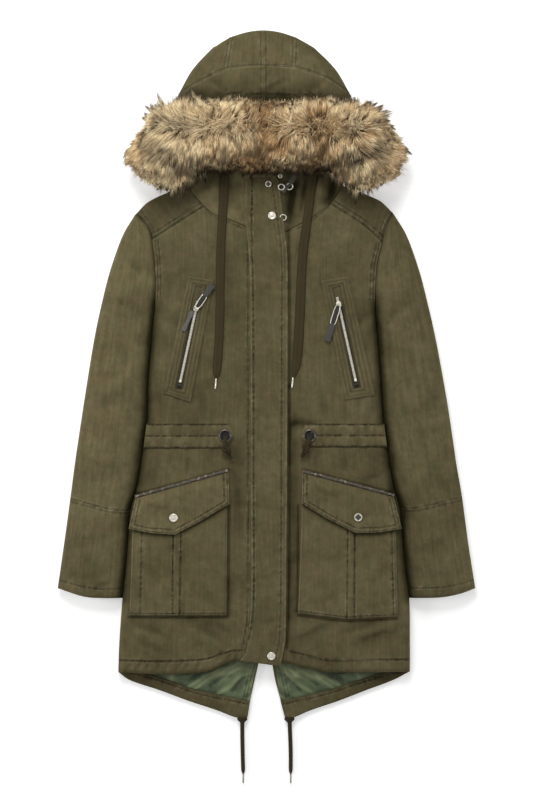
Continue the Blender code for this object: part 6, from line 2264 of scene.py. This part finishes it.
    # Painted shade in the gaps between tufts, by how far a hair's root is from its tuft's middle
    tuft_gap_shade = ease(np.linalg.norm(root - root[small], axis=1), 2.5, 8.0)
    lobe = ease(np.abs(x - FUR_MIDDLE), 85, 125) * ease(-y, -335, -318)
    tint = (0.60 + 0.18 * ease(-x, 70, 150) + 0.20 * lattice(x, y, 30.0, 12) + 0.24 * tuft[small]
            + 0.12 * tuft[big])
    # The tint is lowered between tufts as painted shade
    tint += 0.24 * rng.normal(0, 1, count) - 0.40 * blot(x, y, FUR_BROWN_SPOTS) + 0.46 * lobe - 0.22 * tuft_gap_shade
    px, py = points[..., 0].ravel(), points[..., 1].ravel()
    # The painted shadow band under the roll, wider below its line
    gap, _ = measure(smooth(FUR_SHADOW_BAND), px, py, reach=60.0)
    below = 13.0 - 6.0 * ease(np.abs(px), 95, 135)
    band = np.exp(-(gap / np.where(gap < 0, below, 6.5)) ** 2) * (1 - 0.22 * ease(np.abs(px), 150, 190))
    band = band.reshape(count, 7)
    spot = blot(px, py, FUR_DARK_SPOTS).reshape(count, 7)
    black = (rng.uniform(0, 1, count) < 0.09)[:, None]
    band *= (1.12 - 0.30 * middle[:, None]) * (0.85 + 0.30 * tuft[small])[:, None]
    # Darkening: the painted shadow band, darker spots, some black hairs, painted shade between tufts at the
    # roots, and dark outer halves beyond the roll's edge
    dark = 1.22 * band + 0.42 * spot * rng.uniform(0.2, 1.8, count)[:, None] + 0.6 * black * along
    dark += (0.25 * tuft_gap_shade[:, None] * (1 - along)
             + 0.8 * ease(edge_gap, 1, 10)[:, None] * np.clip(2 * along - 1, 0, 1))
    guard = np.where(rng.uniform(0, 1, count) < 0.30, rng.uniform(0.5, 1.0, count), 0.0)
    guard = np.maximum(guard, 0.6 * blot(x, y, FUR_BROWN_SPOTS[:2]))
    guard = np.maximum(guard, 0.75 * ease(edge_gap, -2, 9) * rng.uniform(0, 1, count))
    guard = np.where(stray, 1.0, guard)
    each = np.ones((1, 7))
    values = dict(along=along, tint=np.clip(tint, 0, 1)[:, None] * each, dark=np.clip(dark, 0, 1),
                  guard=guard[:, None] * each)
    piece = mesh_object(name, points.reshape(-1, 3), hair_quads, hair_tris, look=fur_look(), values=values,
                        flat_angle=None)
    return join_coat(piece, "fur_trim")


def nearest_of(points, chosen):
    """For every point, which of the chosen ones is nearest."""
    best, found = np.full(len(points), np.inf), np.zeros(len(points), int)
    for index in chosen:
        far = ((points - points[index]) ** 2).sum(1)
        closer = far < best
        best[closer], found[closer] = far[closer], index
    return found


def frame_ceiling():
    """The height that the fur stays under, in millimetres."""
    return CAD_BOX[1].z / MM + 8.0


# Stage


def area_lamp(name, place, target, power, size):
    """A square lamp that faces the target."""
    lamp = bpy.data.lights.new(name, "AREA")
    lamp.energy = power
    lamp.size = size
    thing = bpy.data.objects.new(name, lamp)
    bpy.context.scene.collection.objects.link(thing)
    thing.location = place
    from_target = np.array(place) - np.array(target)
    flat = math.hypot(from_target[0], from_target[1])
    thing.rotation_euler = (math.atan2(flat, from_target[2]), 0.0,
                            math.atan2(from_target[1], from_target[0]) + math.pi / 2)
    return thing


def make_stage():
    """A pale floor, an even sky, a large lamp beyond the hood, a low lamp at each side, the camera above."""
    scene = bpy.context.scene
    stage = scene.parka_stage
    scene.view_settings.view_transform = "Standard"
    side, low = 6.0, -0.0004
    mesh = bpy.data.meshes.new("floor")
    corners = [(-side, -side, low), (side, -side, low), (side, side, low), (-side, side, low)]
    mesh.from_pydata(corners, [], [(0, 1, 2, 3)])
    floor = bpy.data.objects.new("floor", mesh)
    scene.collection.objects.link(floor)
    look = Look("floor", Roughness=0.9, Specular_IOR_Level=0.1, Emission_Strength=0.32)
    look.shader.inputs["Emission Color"].default_value = (1.0, 1.0, 1.0, 1.0)
    soft = look.noise(0.8, 2.0, kind="object")
    mesh.materials.append(look.finish(look.shaded((0.93, 0.93, 0.93), 0.98 + 0.03 * soft)))

    world = bpy.data.worlds.new("studio")
    world.use_nodes = True
    background = world.node_tree.nodes["Background"]
    background.inputs["Color"].default_value = (1.0, 1.0, 1.0, 1.0)
    background.inputs["Strength"].default_value = stage.sky
    scene.world = world

    middle = (0.0, -0.05, 0.02)
    area_lamp("key_lamp", (-0.35, 1.9, 1.75), middle, stage.key, 1.1)
    area_lamp("left_lamp", (-2.1, -0.2, 0.95), middle, 1.3 * stage.sides, 0.9)
    area_lamp("right_lamp", (2.1, -0.2, 0.95), middle, 0.7 * stage.sides, 0.9)

    data = bpy.data.cameras.new("camera")
    camera = bpy.data.objects.new("camera", data)
    scene.collection.objects.link(camera)
    plane = 0.02
    camera.location = (0.0, stage.frame_centre, plane + stage.distance)
    data.sensor_width = 36.0
    data.lens = data.sensor_width * stage.distance / stage.frame_height
    data.clip_end = 50.0
    scene.camera = camera


# Operators: one for the stage and one for each group of like pieces

STEPS = [
    ("stage", "Stage", "Make the floor, the lamps and the camera", make_stage),
    ("hood_cords", "Hood cords", "Make the flat cords of the hood with their metal ends", make_hood_cords),
    ("hem_cords", "Hem cords", "Make the cords of the tails' hem with their knots and ends", make_hem_cords),
    ("waist_cords", "Waist cords", "Make the eyelets and the knotted cords of the waist", make_waist_cords),
    ("backs", "Back", "Make the two halves of the back", make_backs),
    ("tails", "Tails", "Make the facing and the lining that the tails show", make_tails),
    ("fronts", "Fronts", "Make the two front panels", make_fronts),
    ("yokes", "Yokes", "Make the shoulder yokes", make_yokes),
    ("sleeves", "Sleeves", "Make the sleeves", make_sleeves),
    ("collars", "Collar", "Make the lower front of the hood", make_collars),
    ("hood", "Hood", "Make the panels of the hood", make_hood),
    ("placket", "Placket", "Make the storm placket", make_placket),
    ("waist", "Waist", "Make the gathered channels of the waist", make_waist),
    ("hip_pockets", "Hip pockets", "Make the bellows pockets with their flaps, piping and snaps",
     make_hip_pockets),
    ("chest_pockets", "Chest pockets", "Make the chest pockets with their zips and pulls",
     make_chest_pockets),
    ("snaps", "Snaps", "Make the placket's snaps and the rings of the neck tab", make_snaps),
    ("fur", "Fur", "Make the fur trim", make_fur),
]


def step_operator(key, label, text, build):
    """An operator that runs one step and reports how it went."""
    def execute(self, context):
        build()
        return {"FINISHED"}
    return type(f"PARKA_OT_{key}", (bpy.types.Operator,),
                dict(bl_idname=f"parka.{key}", bl_label=label, __doc__=text, bl_options={"REGISTER", "UNDO"},
                     execute=execute))


OPERATORS = [step_operator(*step) for step in STEPS]


class PARKA_PT_sidebar(bpy.types.Panel):
    """The parka's settings and its steps in order."""
    bl_label = "Parka"
    bl_idname = "PARKA_PT_sidebar"
    bl_space_type = "VIEW_3D"
    bl_region_type = "UI"
    bl_category = "Parka"

    def draw(self, context):
        layout = self.layout
        for group, _ in GROUPS:
            box = layout.box()
            for key in getattr(context.scene, group).bl_rna.properties.keys()[1:]:
                if key != "name":
                    box.prop(getattr(context.scene, group), key)
        for key, label, _, _ in STEPS:
            layout.operator(f"parka.{key}", text=label)


GROUPS = [("parka_cloth", ParkaCloth), ("parka_colours", ParkaColours), ("parka_fur", ParkaFur),
          ("parka_stage", ParkaStage)]
CLASSES = [group for _, group in GROUPS] + OPERATORS + [PARKA_PT_sidebar]


def register():
    for kind in CLASSES:
        bpy.utils.register_class(kind)
    for name, group in GROUPS:
        setattr(bpy.types.Scene, name, PointerProperty(type=group))


def unregister():
    for name, _ in GROUPS:
        delattr(bpy.types.Scene, name)
    for kind in reversed(CLASSES):
        bpy.utils.unregister_class(kind)


def main():
    register()
    for key, _, _, _ in STEPS:
        getattr(bpy.ops.parka, key)()


if __name__ == "__main__":
    main()
